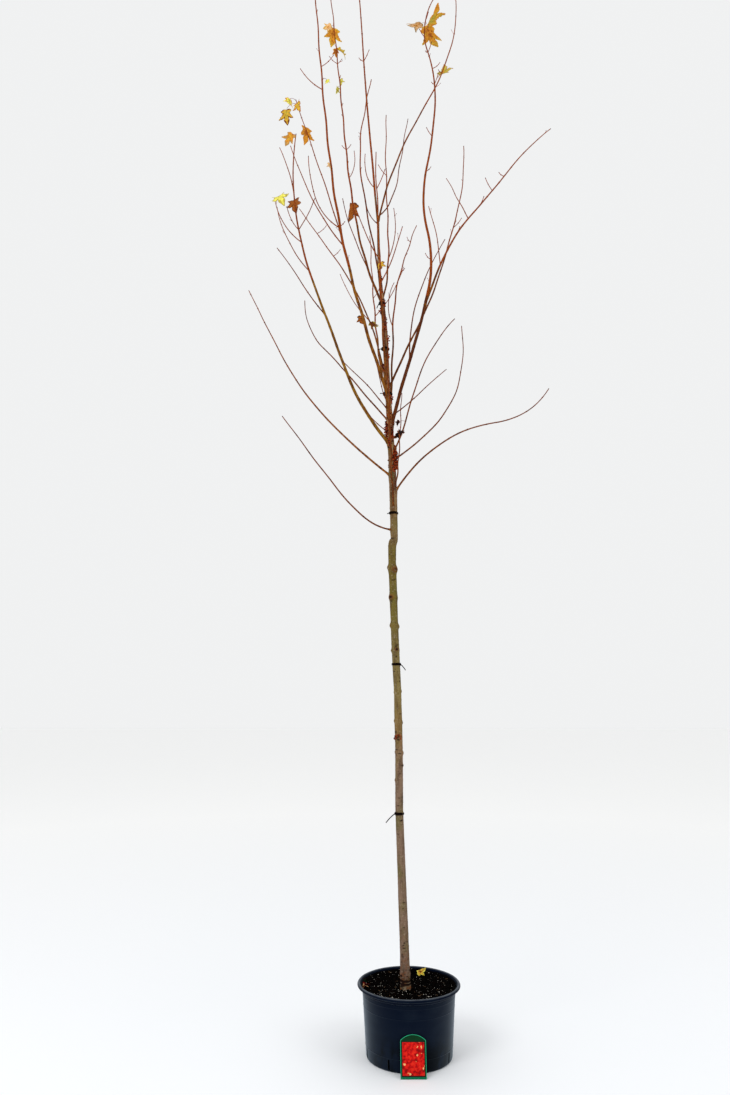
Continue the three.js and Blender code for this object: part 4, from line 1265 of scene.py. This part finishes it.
def add_leaf(shape, stalks, leaf, line, number):
    """A stalk that arches over, and the blade that hangs from its end."""
    leans = (STALK_FIRST_LEAN, 90 + leaf.droop)
    stalk = Limb("stalk", leaf.on, leaf.at, leaf.heading, leans, leaf.size * leaf.stalk, STALK_THICK)
    points = grow_line(stalk, points_on(line, leaf.at))
    add_tube(stalks, points, np.linspace(*STALK_THICK, len(points)) / 2, 6)
    along = heading_vector(leaf.heading, 90 + leaf.droop)
    across = turned(heading_vector(leaf.heading + 90), along, leaf.roll)
    add_blade(shape, leaf, points[-1] - along * STALK_SUNK, across, along, number)


def make_leaves(lines, materials, stalk_material):
    crown_leaves, fallen, stalks = Shape(), Shape(), Shape()
    for number, leaf in enumerate((*LEAVES, *SCRAPS)):
        add_leaf(crown_leaves, stalks, leaf, lines[leaf.on], number)
    for number, (place, heading, lean, roll, size, tints, curl) in enumerate(FALLEN, FIRST_FALLEN):
        along = heading_vector(heading, lean)
        across = turned(heading_vector(heading + 90), along, roll)
        leaf = Leaf("compost", 0, heading, 0, roll, size, tints, curl)
        add_blade(fallen, leaf, np.array(place), across, along, number)
    make_piece("leaves", crown_leaves, materials, "twig")
    make_piece("fallen_leaves", fallen, materials, "compost")
    make_piece("leaf_stalks", stalks, [stalk_material], "twig")


# Pot, compost, ties and card

def wall_radius(height):
    return mix(BASE_RADIUS, WALL_TOP_RADIUS, height / WALL_TOP)


def softened(points, rounds=2):
    """A line with its corners cut, again and again, between its fixed ends."""
    for _ in range(rounds):
        cut = [points[0]]
        for a, b in zip(points[:-1], points[1:]):
            cut += [mix(a, b, 0.25), mix(a, b, 0.75)]
        points = np.array(cut + [points[-1]])
    return points


def lathe(profile, segments):
    """Rings round the Z axis through a profile of radius and height."""
    angles = circle(segments)
    radius, height = profile[:, 0, None], profile[:, 1, None]
    return np.stack([radius * np.cos(angles), radius * np.sin(angles), height + 0 * angles], axis=-1)


def wall_rings():
    """Radius and height up the wall's outside, with the ridges that the mould left."""
    heights = set(np.arange(*WALL_RINGS))
    heights.update(ridge + offset for ridge in MOULD_RIDGES for offset in RIDGE_PROFILE)
    ridges = np.array(MOULD_RIDGES)
    rings = []
    for height in sorted(heights):
        rise = RIDGE_SIZE * bell(height - ridges, RIDGE_REACH).max()
        rings.append((wall_radius(height) + rise, height))
    return rings


def pot_profile():
    """Radius and height from the underside's edge out, up the wall, over the rim and down inside."""
    corner = [(BASE_RADIUS - BASE_ROUND * (1 - math.sin(a)), BASE_ROUND * (1 - math.cos(a)))
              for a in np.linspace(0, np.pi / 2, 7)[1:-1]]
    base = [(BASE_RADIUS - BASE_ROUND, 0), *corner, (wall_radius(BASE_ROUND), BASE_ROUND)]
    rim = [(RIM_RADIUS - inwards, WALL_TOP + up) for inwards, up in RIM_PROFILE]
    rim_end = (wall_radius(WALL_TOP) - POT_WALL, WALL_TOP - BASE_ROUND)
    soft_rim = softened(np.array([(WALL_TOP_RADIUS, WALL_TOP), *rim, rim_end]))
    inside = [(wall_radius(h) - POT_WALL, h) for h in INSIDE_RINGS]
    return np.concatenate([base, wall_rings(), soft_rim, inside])


def slot_cutter():
    """Boxes that cut the drain slots through the wall near the base."""
    shape = Shape()
    corners = np.array([(x, y, z) for z in (SLOT_BOTTOM, SLOT_TOP) for x, y in
                        ((-1, -1), (1, -1), (1, 1), (-1, 1))], float)
    faces = np.array([(0, 3, 2, 1), (4, 5, 6, 7), (0, 1, 5, 4), (1, 2, 6, 5), (2, 3, 7, 6), (3, 0, 4, 7)])
    for k in range(SLOT_COUNT):
        heading = SLOT_FIRST_HEADING + 360 / SLOT_COUNT * k
        out = heading_vector(heading) * (wall_radius(SLOT_BOTTOM) + corners[:, :1] * SLOT_DEPTH / 2)
        points = out + heading_vector(heading + 90) * corners[:, 1:2] * SLOT_WIDTH / 2
        points[:, 2] = corners[:, 2]
        shape.add(points, [faces], [0])
    return new_object("slot_cutter", shape.mesh("slot_cutter"))


def make_pot(materials):
    shape = Shape()
    profile = pot_profile()
    rim_bands = ((profile[1:, 1] + profile[:-1, 1]) / 2 > WALL_TOP).astype(int)
    add_rings(shape, lathe(profile, POT_SEGMENTS), (0, 0, 0), (0, 0, POT_FLOOR), rim_bands)
    pot = make_piece("nursery_pot", shape, materials, "pot", "pot")
    cutter = slot_cutter()
    cut = pot.modifiers.new("slots", "BOOLEAN")
    cut.operation = "DIFFERENCE"
    cut.solver = "EXACT"
    cut.object = cutter
    bpy.context.view_layer.update()
    pot.data = bpy.data.meshes.new_from_object(pot.evaluated_get(bpy.context.evaluated_depsgraph_get()))
    pot.data.name = "nursery_pot"
    pot.modifiers.clear()
    bpy.data.objects.remove(cutter)
    pot.data.set_sharp_from_angle(angle=math.radians(POT_SHARP_ANGLE))


def compost_height(points):
    """How far the compost's surface lies above its level."""
    bumps = sum(noise_at(points, (waves, waves, 1)) * share for waves, share in SOIL_WAVES)
    reach = np.hypot(points[..., 0], points[..., 1]) / SOIL_REACH
    return mix(SOIL_HEAP, SOIL_BANK, np.clip(reach, 0, 1) ** 3) + SOIL_BUMPS * bumps


def make_compost(materials):
    side = [(wall_radius(h) - POT_WALL - GAP, h) for h in SOIL_SIDE_RINGS]
    top = [(SOIL_REACH * share, SOIL_LEVEL) for share in np.linspace(1, 0.01, SOIL_TOP_RINGS)]
    rings = lathe(np.array(side + top), POT_SEGMENTS)
    rings[len(side):, :, 2] += compost_height(rings[len(side):] * (1, 1, 0))
    shape = Shape()
    add_rings(shape, rings, (0, 0, SOIL_SIDE_RINGS[0]), rings[-1].mean(0))
    make_piece("compost_bed", shape, materials[:1], "compost", "compost")
    make_litter(materials)


def compost_spot(random):
    """A random place on the compost that keeps off the stem."""
    centre, radius = stem_at(SOIL_LEVEL)
    while True:
        angle = random.uniform(0, 2 * np.pi)
        reach = SOIL_REACH * math.sqrt(random.uniform(0.001, 0.93))
        spot = np.array([reach * math.cos(angle), reach * math.sin(angle), 0])
        if math.hypot(spot[0] - centre[0], spot[1]) > radius + 0.001:
            spot[2] = SOIL_LEVEL + float(compost_height(spot * (1, 1, 0)))
            return spot


def add_crumb(shape, spot, axis, size, random, longest, brown_share):
    """A dented crumb of bark, up to some number of times as long as it is thick."""
    length = size * random.uniform(1, longest)
    brown = int(random.random() < brown_share)
    add_bead(shape, spot - axis * size / 2, axis, length, size / 2, 5, brown, random)


def add_crumbs(shape, random):
    for _ in range(CRUMB_COUNT):
        spot = compost_spot(random)
        size = random.uniform(*CRUMB_SIZES)
        axis = heading_vector(random.uniform(0, 360), random.uniform(60, 120))
        add_crumb(shape, spot, axis, size, random, longest=2, brown_share=0.3)


def add_foot_crumbs(shape, random):
    """Crumbs piled against the stem's foot, lying along it."""
    centre, radius = stem_at(SOIL_LEVEL + SOIL_HEAP)
    for _ in range(FOOT_CRUMB_COUNT):
        heading = random.uniform(0, 360)
        size = random.uniform(*FOOT_CRUMB_SIZES)
        spot = centre + heading_vector(heading) * (radius + random.uniform(*FOOT_CRUMB_GAPS))
        spot[2] += random.uniform(*FOOT_CRUMB_RISES)
        axis = heading_vector(heading + random.uniform(60, 120), random.uniform(70, 110))
        add_crumb(shape, spot, axis, size, random, longest=1.6, brown_share=0.4)


def add_flecks(shape, random):
    """Pale flecks, most of them small."""
    for _ in range(FLECK_COUNT):
        spot = compost_spot(random) + (0, 0, LITTER_LIFT)
        size = mix(*FLECK_SIZES, random.random() ** 5)
        axis = heading_vector(random.uniform(0, 360), 90)
        length = size * random.uniform(1, 2.2)
        add_bead(shape, spot - axis * size / 2, axis, length, size * 0.4, 5, 0, random)


def add_straws(shape, random):
    """Thin straws, each with a slight bend in its middle."""
    for _ in range(STRAW_COUNT):
        spot = compost_spot(random) + (0, 0, LITTER_LIFT)
        half = random.uniform(*STRAW_LENGTHS) / 2
        heading = random.uniform(0, 360)
        end = spot + heading_vector(heading + random.uniform(-25, 25), 80) * half
        points = np.array([spot - heading_vector(heading, 86) * half, spot, end])
        add_tube(shape, points, np.full(3, random.uniform(*STRAW_RADII)), 5)


def make_litter(materials):
    """Bark crumbs, pale flecks and straws that lie on the compost."""
    random = np.random.default_rng(LITTER_SEED)
    crumbs, flecks, straws = Shape(), Shape(), Shape()
    add_crumbs(crumbs, random)
    add_foot_crumbs(crumbs, random)
    add_flecks(flecks, random)
    add_straws(straws, random)
    make_piece("compost_crumbs", crumbs, materials[:2], "compost")
    make_piece("compost_flecks", flecks, materials[2:3], "compost")
    make_piece("compost_straws", straws, materials[3:4], "compost")


def winding(centre, reach, heading):
    """The line of a soft tie that is wound round the stem."""
    width = TIE_THICKNESS * (TIE_TURNS - 0.6)
    points = []
    for turn in np.linspace(0, TIE_TURNS, round(TIE_TURNS * TIE_TURN_STEPS)):
        rise = (turn / TIE_TURNS - 0.5) * width + TIE_WOBBLE * math.sin(5 * turn)
        points.append(centre + heading_vector(heading + 360 * turn) * reach + np.array([0, 0, rise]))
    return np.array(points)


def add_knot(shape, knot, heading):
    """A knot of two lumps, one across it and one upright."""
    level = heading_vector(heading + 90)
    for axis, (length, radius) in ((level, KNOT_ACROSS), (np.array([0, 0, 1]), KNOT_UPRIGHT)):
        add_bead(shape, knot - axis * length / 2, axis, length, radius, 8)


def make_tie(number, height, heading, tail_length, tail_lean, stand_off, material):
    """A soft tie wound round the stem, with a knot and a loose end."""
    centre, radius = stem_at(height)
    centre = centre + heading_vector(TIE_HANG) * stand_off
    reach = radius + TIE_THICKNESS * TIE_OFFSET + stand_off
    line = winding(centre, reach, heading)
    shape = Shape()
    add_tube(shape, line, np.full(len(line), TIE_THICKNESS / 2), 8)
    knot = centre + heading_vector(heading) * (reach + KNOT_OFFSET)
    add_knot(shape, knot, heading)
    steps = np.linspace(0, 1, TAIL_STEPS)
    tail = [knot + heading_vector(heading, tail_lean + mix(-5, 4, s)) * tail_length * s for s in steps]
    add_tube(shape, np.array(tail), np.linspace(*TAIL_SHARES, TAIL_STEPS) * TIE_THICKNESS / 2, 8)
    make_piece(f"soft_tie_{number}", shape, [material], "tie", f"tie_{number}")


def card_outline(inset=0.0):
    """The card's arched outline, drawn in by an inset, as points round it against the clock."""
    half, rise = CARD_WIDTH / 2 - inset, CARD_HEIGHT - CARD_SHOULDER
    radius = ((CARD_WIDTH / 2) ** 2 + rise ** 2) / (2 * rise) - inset
    centre = CARD_HEIGHT - radius - inset
    reach = math.asin(half / radius)
    arch = [(radius * math.sin(a), centre + radius * math.cos(a)) for a in np.linspace(reach, -reach, 25)]
    sides = np.linspace(inset, arch[0][1], 12)
    return np.array([*[(half, y) for y in sides[:-1]], *arch, *[(-half, y) for y in sides[-2::-1]]])


def card_place():
    """The card's foot and its directions: across it, up it and out of its face."""
    lean = math.radians(CARD_LEAN)
    reach = CARD_HEIGHT * math.sin(lean)
    touch = wall_radius(CARD_HEIGHT * math.cos(lean)) + GAP
    foot = np.array([CARD_SHIFT, -touch - reach, CARD_THICKNESS * math.sin(lean)])
    up = np.array([0, math.sin(lean), math.cos(lean)])
    return foot, np.array([[1, 0, 0], up, np.cross([1, 0, 0], up)])


def at_level(outline, level):
    """A flat outline raised to a level."""
    return np.column_stack([outline, np.full(len(outline), level)])


def flat_rings(outline, low, high, bevel):
    """Rings of a flat plate between two levels, with its edges taken off."""
    middle = outline.mean(0)
    drawn_in = middle + (outline - middle) * (1 - bevel / BEVEL_REACH)
    levels = ((drawn_in, low), (outline, low + bevel), (outline, high - bevel), (drawn_in, high))
    return np.array([at_level(flat, level) for flat, level in levels])


def add_plate(shape, outline, low, high, bevel=CARD_BEVEL):
    """A flat plate on the card, with its outline in the card's own plane."""
    foot, axes = card_place()
    rings = foot + flat_rings(outline, low, high, bevel) @ axes
    add_rings(shape, rings, rings[0].mean(0), rings[-1].mean(0))


def field_outline(width, low, high):
    """The outline of a straight printed field, with rounded corners."""
    corner = CARD_FIELD_CORNER
    points = []
    for sign_x, sign_y, first in ((1, -1, -90), (1, 1, 0), (-1, 1, 90), (-1, -1, 180)):
        centre = np.array([sign_x * (width / 2 - corner), high - corner if sign_y > 0 else low + corner])
        for k in range(5):
            angle = math.radians(first + 22.5 * k)
            points.append(centre + corner * np.array([math.cos(angle), math.sin(angle)]))
    return np.array(points)


def make_card_line(low, high, material):
    """The line that runs round the card, just inside its edge."""
    foot, axes = card_place()
    outer, inner = (card_outline(CARD_LINE_INSET + width) for width in (0, CARD_LINE_WIDTH))
    loops = ((inner, low), (outer, low), (outer, high), (inner, high))
    line = Shape()
    add_loop(line, foot + np.array([at_level(outline, level) for outline, level in loops]) @ axes)
    make_piece("card_line", line, [material], "card")


def make_card(base, edge, ink, panel, strip):
    """The card with a line round it, a mottled panel on a dark field, and a strip at its foot."""
    low = CARD_THICKNESS - CARD_PRINT_RISE
    print_top = CARD_THICKNESS + CARD_PRINT_RISE
    body = Shape()
    add_plate(body, card_outline(), 0, CARD_THICKNESS)
    make_piece("card_body", body, [base], "card", "card")
    make_card_line(low, print_top, edge)
    for name, field, level, material in (("ink", CARD_PANEL_EDGE, print_top, ink),
                                         ("panel", CARD_PANEL, print_top + CARD_PRINT_RISE, panel),
                                         ("strip", CARD_FOOT_STRIP, print_top + CARD_PRINT_RISE, strip)):
        plate = Shape()
        add_plate(plate, field_outline(*field), low, level, CARD_PRINT_BEVEL)
        make_piece(f"card_{name}", plate, [material], "card")


# Materials

# Numbers of the Mix node's sockets, where it mixes colours
MIX_SHARE = 0
MIX_FIRST = 6
MIX_SECOND = 7
MIX_RESULT = 2


class Look:
    """A material's nodes, with short ways to add noise, colour mixes and bumps."""

    def __init__(self, name, roughness, specular=0.5):
        self.material = bpy.data.materials.new(name)
        self.material.use_nodes = True
        self.tree = self.material.node_tree
        self.shader = self.tree.nodes["Principled BSDF"]
        self.fill(self.shader, {"Roughness": roughness, "Specular IOR Level": specular})
        self.place = self.node("TexCoord", "Object")

    def fill(self, node, values):
        """Link or set a node's inputs, by their names or numbers."""
        for name, value in values.items():
            socket = node.inputs[name]
            if isinstance(value, bpy.types.NodeSocket):
                self.tree.links.new(value, socket)
            elif socket.type == "RGBA":
                socket.default_value = (*value, 1)
            else:
                socket.default_value = value

    def node(self, kind, output, values=None, **settings):
        """An output of a new node that has its settings made and its inputs filled."""
        node = self.tree.nodes.new(f"ShaderNode{kind}")
        for name, value in settings.items():
            setattr(node, name, value)
        self.fill(node, values or {})
        return node.outputs[output]

    def noise(self, waves, detail=3.0, upright=1.0):
        """Noise from 0 to 1, by its waves per metre. It is drawn out upright where that is below 1."""
        place = self.node("Mapping", "Vector", {"Vector": self.place, "Scale": (1, 1, upright)})
        return self.node("TexNoise", "Fac", {"Vector": place, "Scale": waves, "Detail": detail})

    def height(self):
        return self.node("SeparateXYZ", "Z", {"Vector": self.place})

    def reach(self):
        """The distance from the upright axis."""
        flat = self.node("VectorMath", "Vector", {0: self.place, 1: (1, 1, 0)}, operation="MULTIPLY")
        return self.node("VectorMath", "Value", {0: flat}, operation="LENGTH")

    def times(self, a, b):
        return self.node("Math", "Value", {0: a, 1: b}, operation="MULTIPLY")

    def channel(self, colour, name):
        return self.node("SeparateColor", name, {"Color": colour})

    def cells(self, waves):
        """The random number of each cell of a scattered pattern."""
        colour = self.node("TexVoronoi", "Color", {"Vector": self.place, "Scale": waves})
        return self.channel(colour, "Red")

    def tones(self):
        """The three tones that the mesh carries at each point."""
        tone = self.node("Attribute", "Color", attribute_name="tone")
        return [self.channel(tone, name) for name in ("Red", "Green", "Blue")]

    def ranged(self, value, low, high, to_low=0.0, to_high=1.0):
        """A value stretched from one range to another, and held there."""
        return self.node("MapRange", "Result", {"Value": value, "From Min": low, "From Max": high,
                                                "To Min": to_low, "To Max": to_high})

    def mixed(self, share, a, b):
        """One colour passing into another."""
        values = {MIX_SHARE: share, MIX_FIRST: a, MIX_SECOND: b}
        return self.node("Mix", MIX_RESULT, values, data_type="RGBA")

    def lay(self, under, layer, within=None):
        """A layer over another colour, within a share of the surface."""
        noise = self.noise(layer.waves, layer.detail, layer.upright)
        share = self.ranged(noise, layer.low, layer.high, 0, layer.most)
        if within is not None:
            share = self.times(within, share)
        return self.mixed(share, under, layer.colour)

    def ramp(self, value, stops):
        """A colour read from stops along a value."""
        colour = self.node("ValToRGB", "Color", {"Fac": value})
        elements = colour.node.color_ramp.elements
        while len(elements) < len(stops):
            elements.new(0.5)
        for element, (place, stop_colour) in zip(elements, stops):
            element.position = place
            element.color = (*stop_colour, 1)
        return colour

    def finish(self, colour):
        self.fill(self.shader, {"Base Color": colour})
        return self.material

    def bump(self, height, strength, distance):
        values = {"Height": height, "Strength": strength, "Distance": distance}
        self.fill(self.shader, {"Normal": self.node("Bump", "Normal", values)})


def stem_bark():
    """Grey-brown bark below, olive in the middle and streaked tan above, with lenticels and scars."""
    look = Look("stem_bark", 0.85, 0.08)
    height = look.height()
    low, high = BARK_ZONES[0][0], BARK_ZONES[-1][0]
    stops = [((zone - low) / (high - low), colour) for zone, colour in BARK_ZONES]
    colour = look.ramp(look.ranged(height, low, high), stops)
    leader = look.ranged(height, *LEADER_COLOURS)
    for layer in BARK_LAYERS:
        colour = look.lay(colour, layer, leader if layer.leader_only else None)
    scar_and_shade, rind, lenticel = look.tones()
    colour = look.mixed(look.ranged(rind, 0.1, 0.9, 0, 0.8), colour, SCAR_ORANGE)
    colour = look.mixed(look.ranged(lenticel, 0.3, 0.9, 0, 0.6), colour, BARK_PALE)
    # Dark scars, stains and dashes, and painted shade in the creases, grooves and under the collars
    colour = look.mixed(look.ranged(scar_and_shade, 0.12, 0.6), colour, SCAR_AND_SHADE_DARK)
    look.bump(look.noise(320, 5, 0.3), 0.55, 0.0012)
    return look.finish(colour)


def bough_bark():
    """Orange-brown to olive bark that turns maroon where the bough thins."""
    look = Look("bough_bark", 0.8, 0.06)
    redness, olive, shade = look.tones()
    colour = look.mixed(olive, BOUGH_WARM, BOUGH_OLIVE)
    colour = look.mixed(redness, colour, BOUGH_MAROON)
    colour = look.mixed(shade, colour, BOUGH_SHADE)
    for layer in BOUGH_LAYERS:
        colour = look.lay(colour, layer)
    look.bump(look.noise(420, 3, 0.4), 0.35, 0.0006)
    return look.finish(colour)


def grained(name, colour, roughness, waves, shade, depth, specular):
    """A plain colour with a fine grain, a little darker here and there."""
    look = Look(name, roughness, specular)
    grain = Layer(tuple(part * shade for part in colour), waves, 0.4, 0.65)
    look.bump(look.noise(waves * 3), 0.35, depth)
    return look.finish(look.lay(colour, grain))


def pot_plastic(name, sheen):
    """Blow-moulded plastic, navy black with dust and scuffs, damp stains, and a pale painted highlight
    along the top of the rim.
    """
    look = Look(name, 0.42, 0.02)
    look.fill(look.shader, {"Specular Tint": POT_GLOSS, "Sheen Weight": sheen,
                            "Sheen Roughness": 0.4, "Sheen Tint": POT_GLOSS})
    height = look.height()
    colour = POT_NAVY
    for layer in POT_LAYERS:
        colour = look.lay(colour, layer)
    most_to, none_from, most = FOOT_DUST
    colour = look.mixed(look.ranged(height, most_to, none_from, most, 0), colour, POT_DUST)
    most_to, none_from, most = FOOT_DAMP
    colour = look.lay(colour, DAMP_STAINS, look.ranged(height, most_to, none_from, most, 0))
    # Painted highlight: the top of the rim turns pale, in patches that noise breaks up
    rim = look.times(look.ranged(look.reach(), *RIM_HIGHLIGHT_REACH), look.ranged(height, *RIM_HIGHLIGHT_HEIGHT))
    lip_highlight = look.ranged(look.noise(30, 4), 0.25, 0.6, 0.35, 0.8)
    colour = look.mixed(look.times(rim, lip_highlight), colour, POT_LIP_HIGHLIGHT)
    look.fill(look.shader, {"Roughness": look.ranged(look.noise(22, 4), 0.3, 0.7, 0.28, 0.42)})
    look.bump(look.noise(420), 0.18, 0.0005)
    return look.finish(colour)


def card_panel():
    """A generic mottled print of reds with scattered warm flecks."""
    look = Look("card_panel", 0.6, 0.06)
    stops = [(k / (len(CARD_REDS) - 1), colour) for k, colour in enumerate(CARD_REDS)]
    colour = look.ramp(look.ranged(look.noise(85), 0.35, 0.66), stops)
    flecks = look.ranged(look.cells(130), 0.95, 0.97, 0, 0.8)
    colour = look.mixed(flecks, colour, CARD_FLECK)
    look.bump(look.noise(300, 2), 0.05, 0.0002)
    return look.finish(colour)


def floor_look():
    look = Look("pale_floor", 0.75, 0.2)
    colour = look.mixed(look.ranged(look.reach(), 1.2, 7), FLOOR_NEAR, FLOOR_FAR)
    return look.finish(look.lay(colour, FLOOR_MOTTLE))


# Setting

def make_floor():
    shape = Shape()
    corners = [(x * FLOOR_SIZE, y * FLOOR_SIZE, 0) for x, y in ((-1, -1), (1, -1), (1, 1), (-1, 1))]
    shape.add(corners, [np.array([[0, 1, 2, 3]])], [0])
    floor = new_object("floor", shape.mesh("floor"))
    floor.data.materials.append(floor_look())


def make_sky():
    world = bpy.data.worlds.new("pale_sky")
    bpy.context.scene.world = world
    world.use_nodes = True
    background = world.node_tree.nodes["Background"]
    background.inputs["Color"].default_value = (*SKY_PALE, 1)
    background.inputs["Strength"].default_value = 1


def make_lamps():
    for name, place, aim, size, power in LAMPS:
        lamp = bpy.data.lights.new(name, "AREA")
        lamp.shape = "DISK"
        lamp.size = size
        lamp.energy = power
        holder = new_object(name, lamp)
        holder.location = place
        holder.rotation_euler = (Vector(aim) - Vector(place)).to_track_quat("-Z", "Y").to_euler()


def make_camera():
    camera = new_object("camera", bpy.data.cameras.new("camera"))
    camera.location = CAMERA_PLACE
    camera.rotation_euler = (math.radians(90 + CAMERA_PITCH), 0, 0)
    camera.data.sensor_width = SENSOR
    camera.data.lens = FOCAL_LENGTH
    bpy.context.scene.camera = camera
    bpy.context.scene.view_settings.view_transform = "Standard"


def build():
    make_camera()
    lines = grow_crown()
    plain = {name: grained(name, *values) for name, values in GRAINED_LOOKS.items()}
    woods = [grained(f"wood_{name}", WOODS[name], *WOOD_GRAIN) for _, name in SHOOT_WOODS]
    tints = [grained(f"leaf_{name}", colour, *LEAF_GRAIN) for name, colour in TINTS.items()]
    make_pot([pot_plastic(name, sheen) for name, sheen in POT_SHEENS.items()])
    make_compost([plain[name] for name in ("compost_dark", "compost_brown", "pale_fleck", "straw")])
    make_trunk(stem_bark())
    make_crown(lines, bough_bark(), woods, plain["bud_scales"])
    make_bud_clusters([plain["flower_bud_red"], plain["flower_bud_brown"]], woods[1])
    make_leaves(lines, tints, plain["leaf_stalk"])
    for number, tie in enumerate(TIES, 1):
        make_tie(number, *tie, plain["tie_rubber"])
    base, edge, ink, strip = (plain[f"card_{name}"] for name in ("green", "mint", "ink", "teal"))
    make_card(base, edge, ink, card_panel(), strip)
    make_floor()
    make_sky()
    make_lamps()


build()
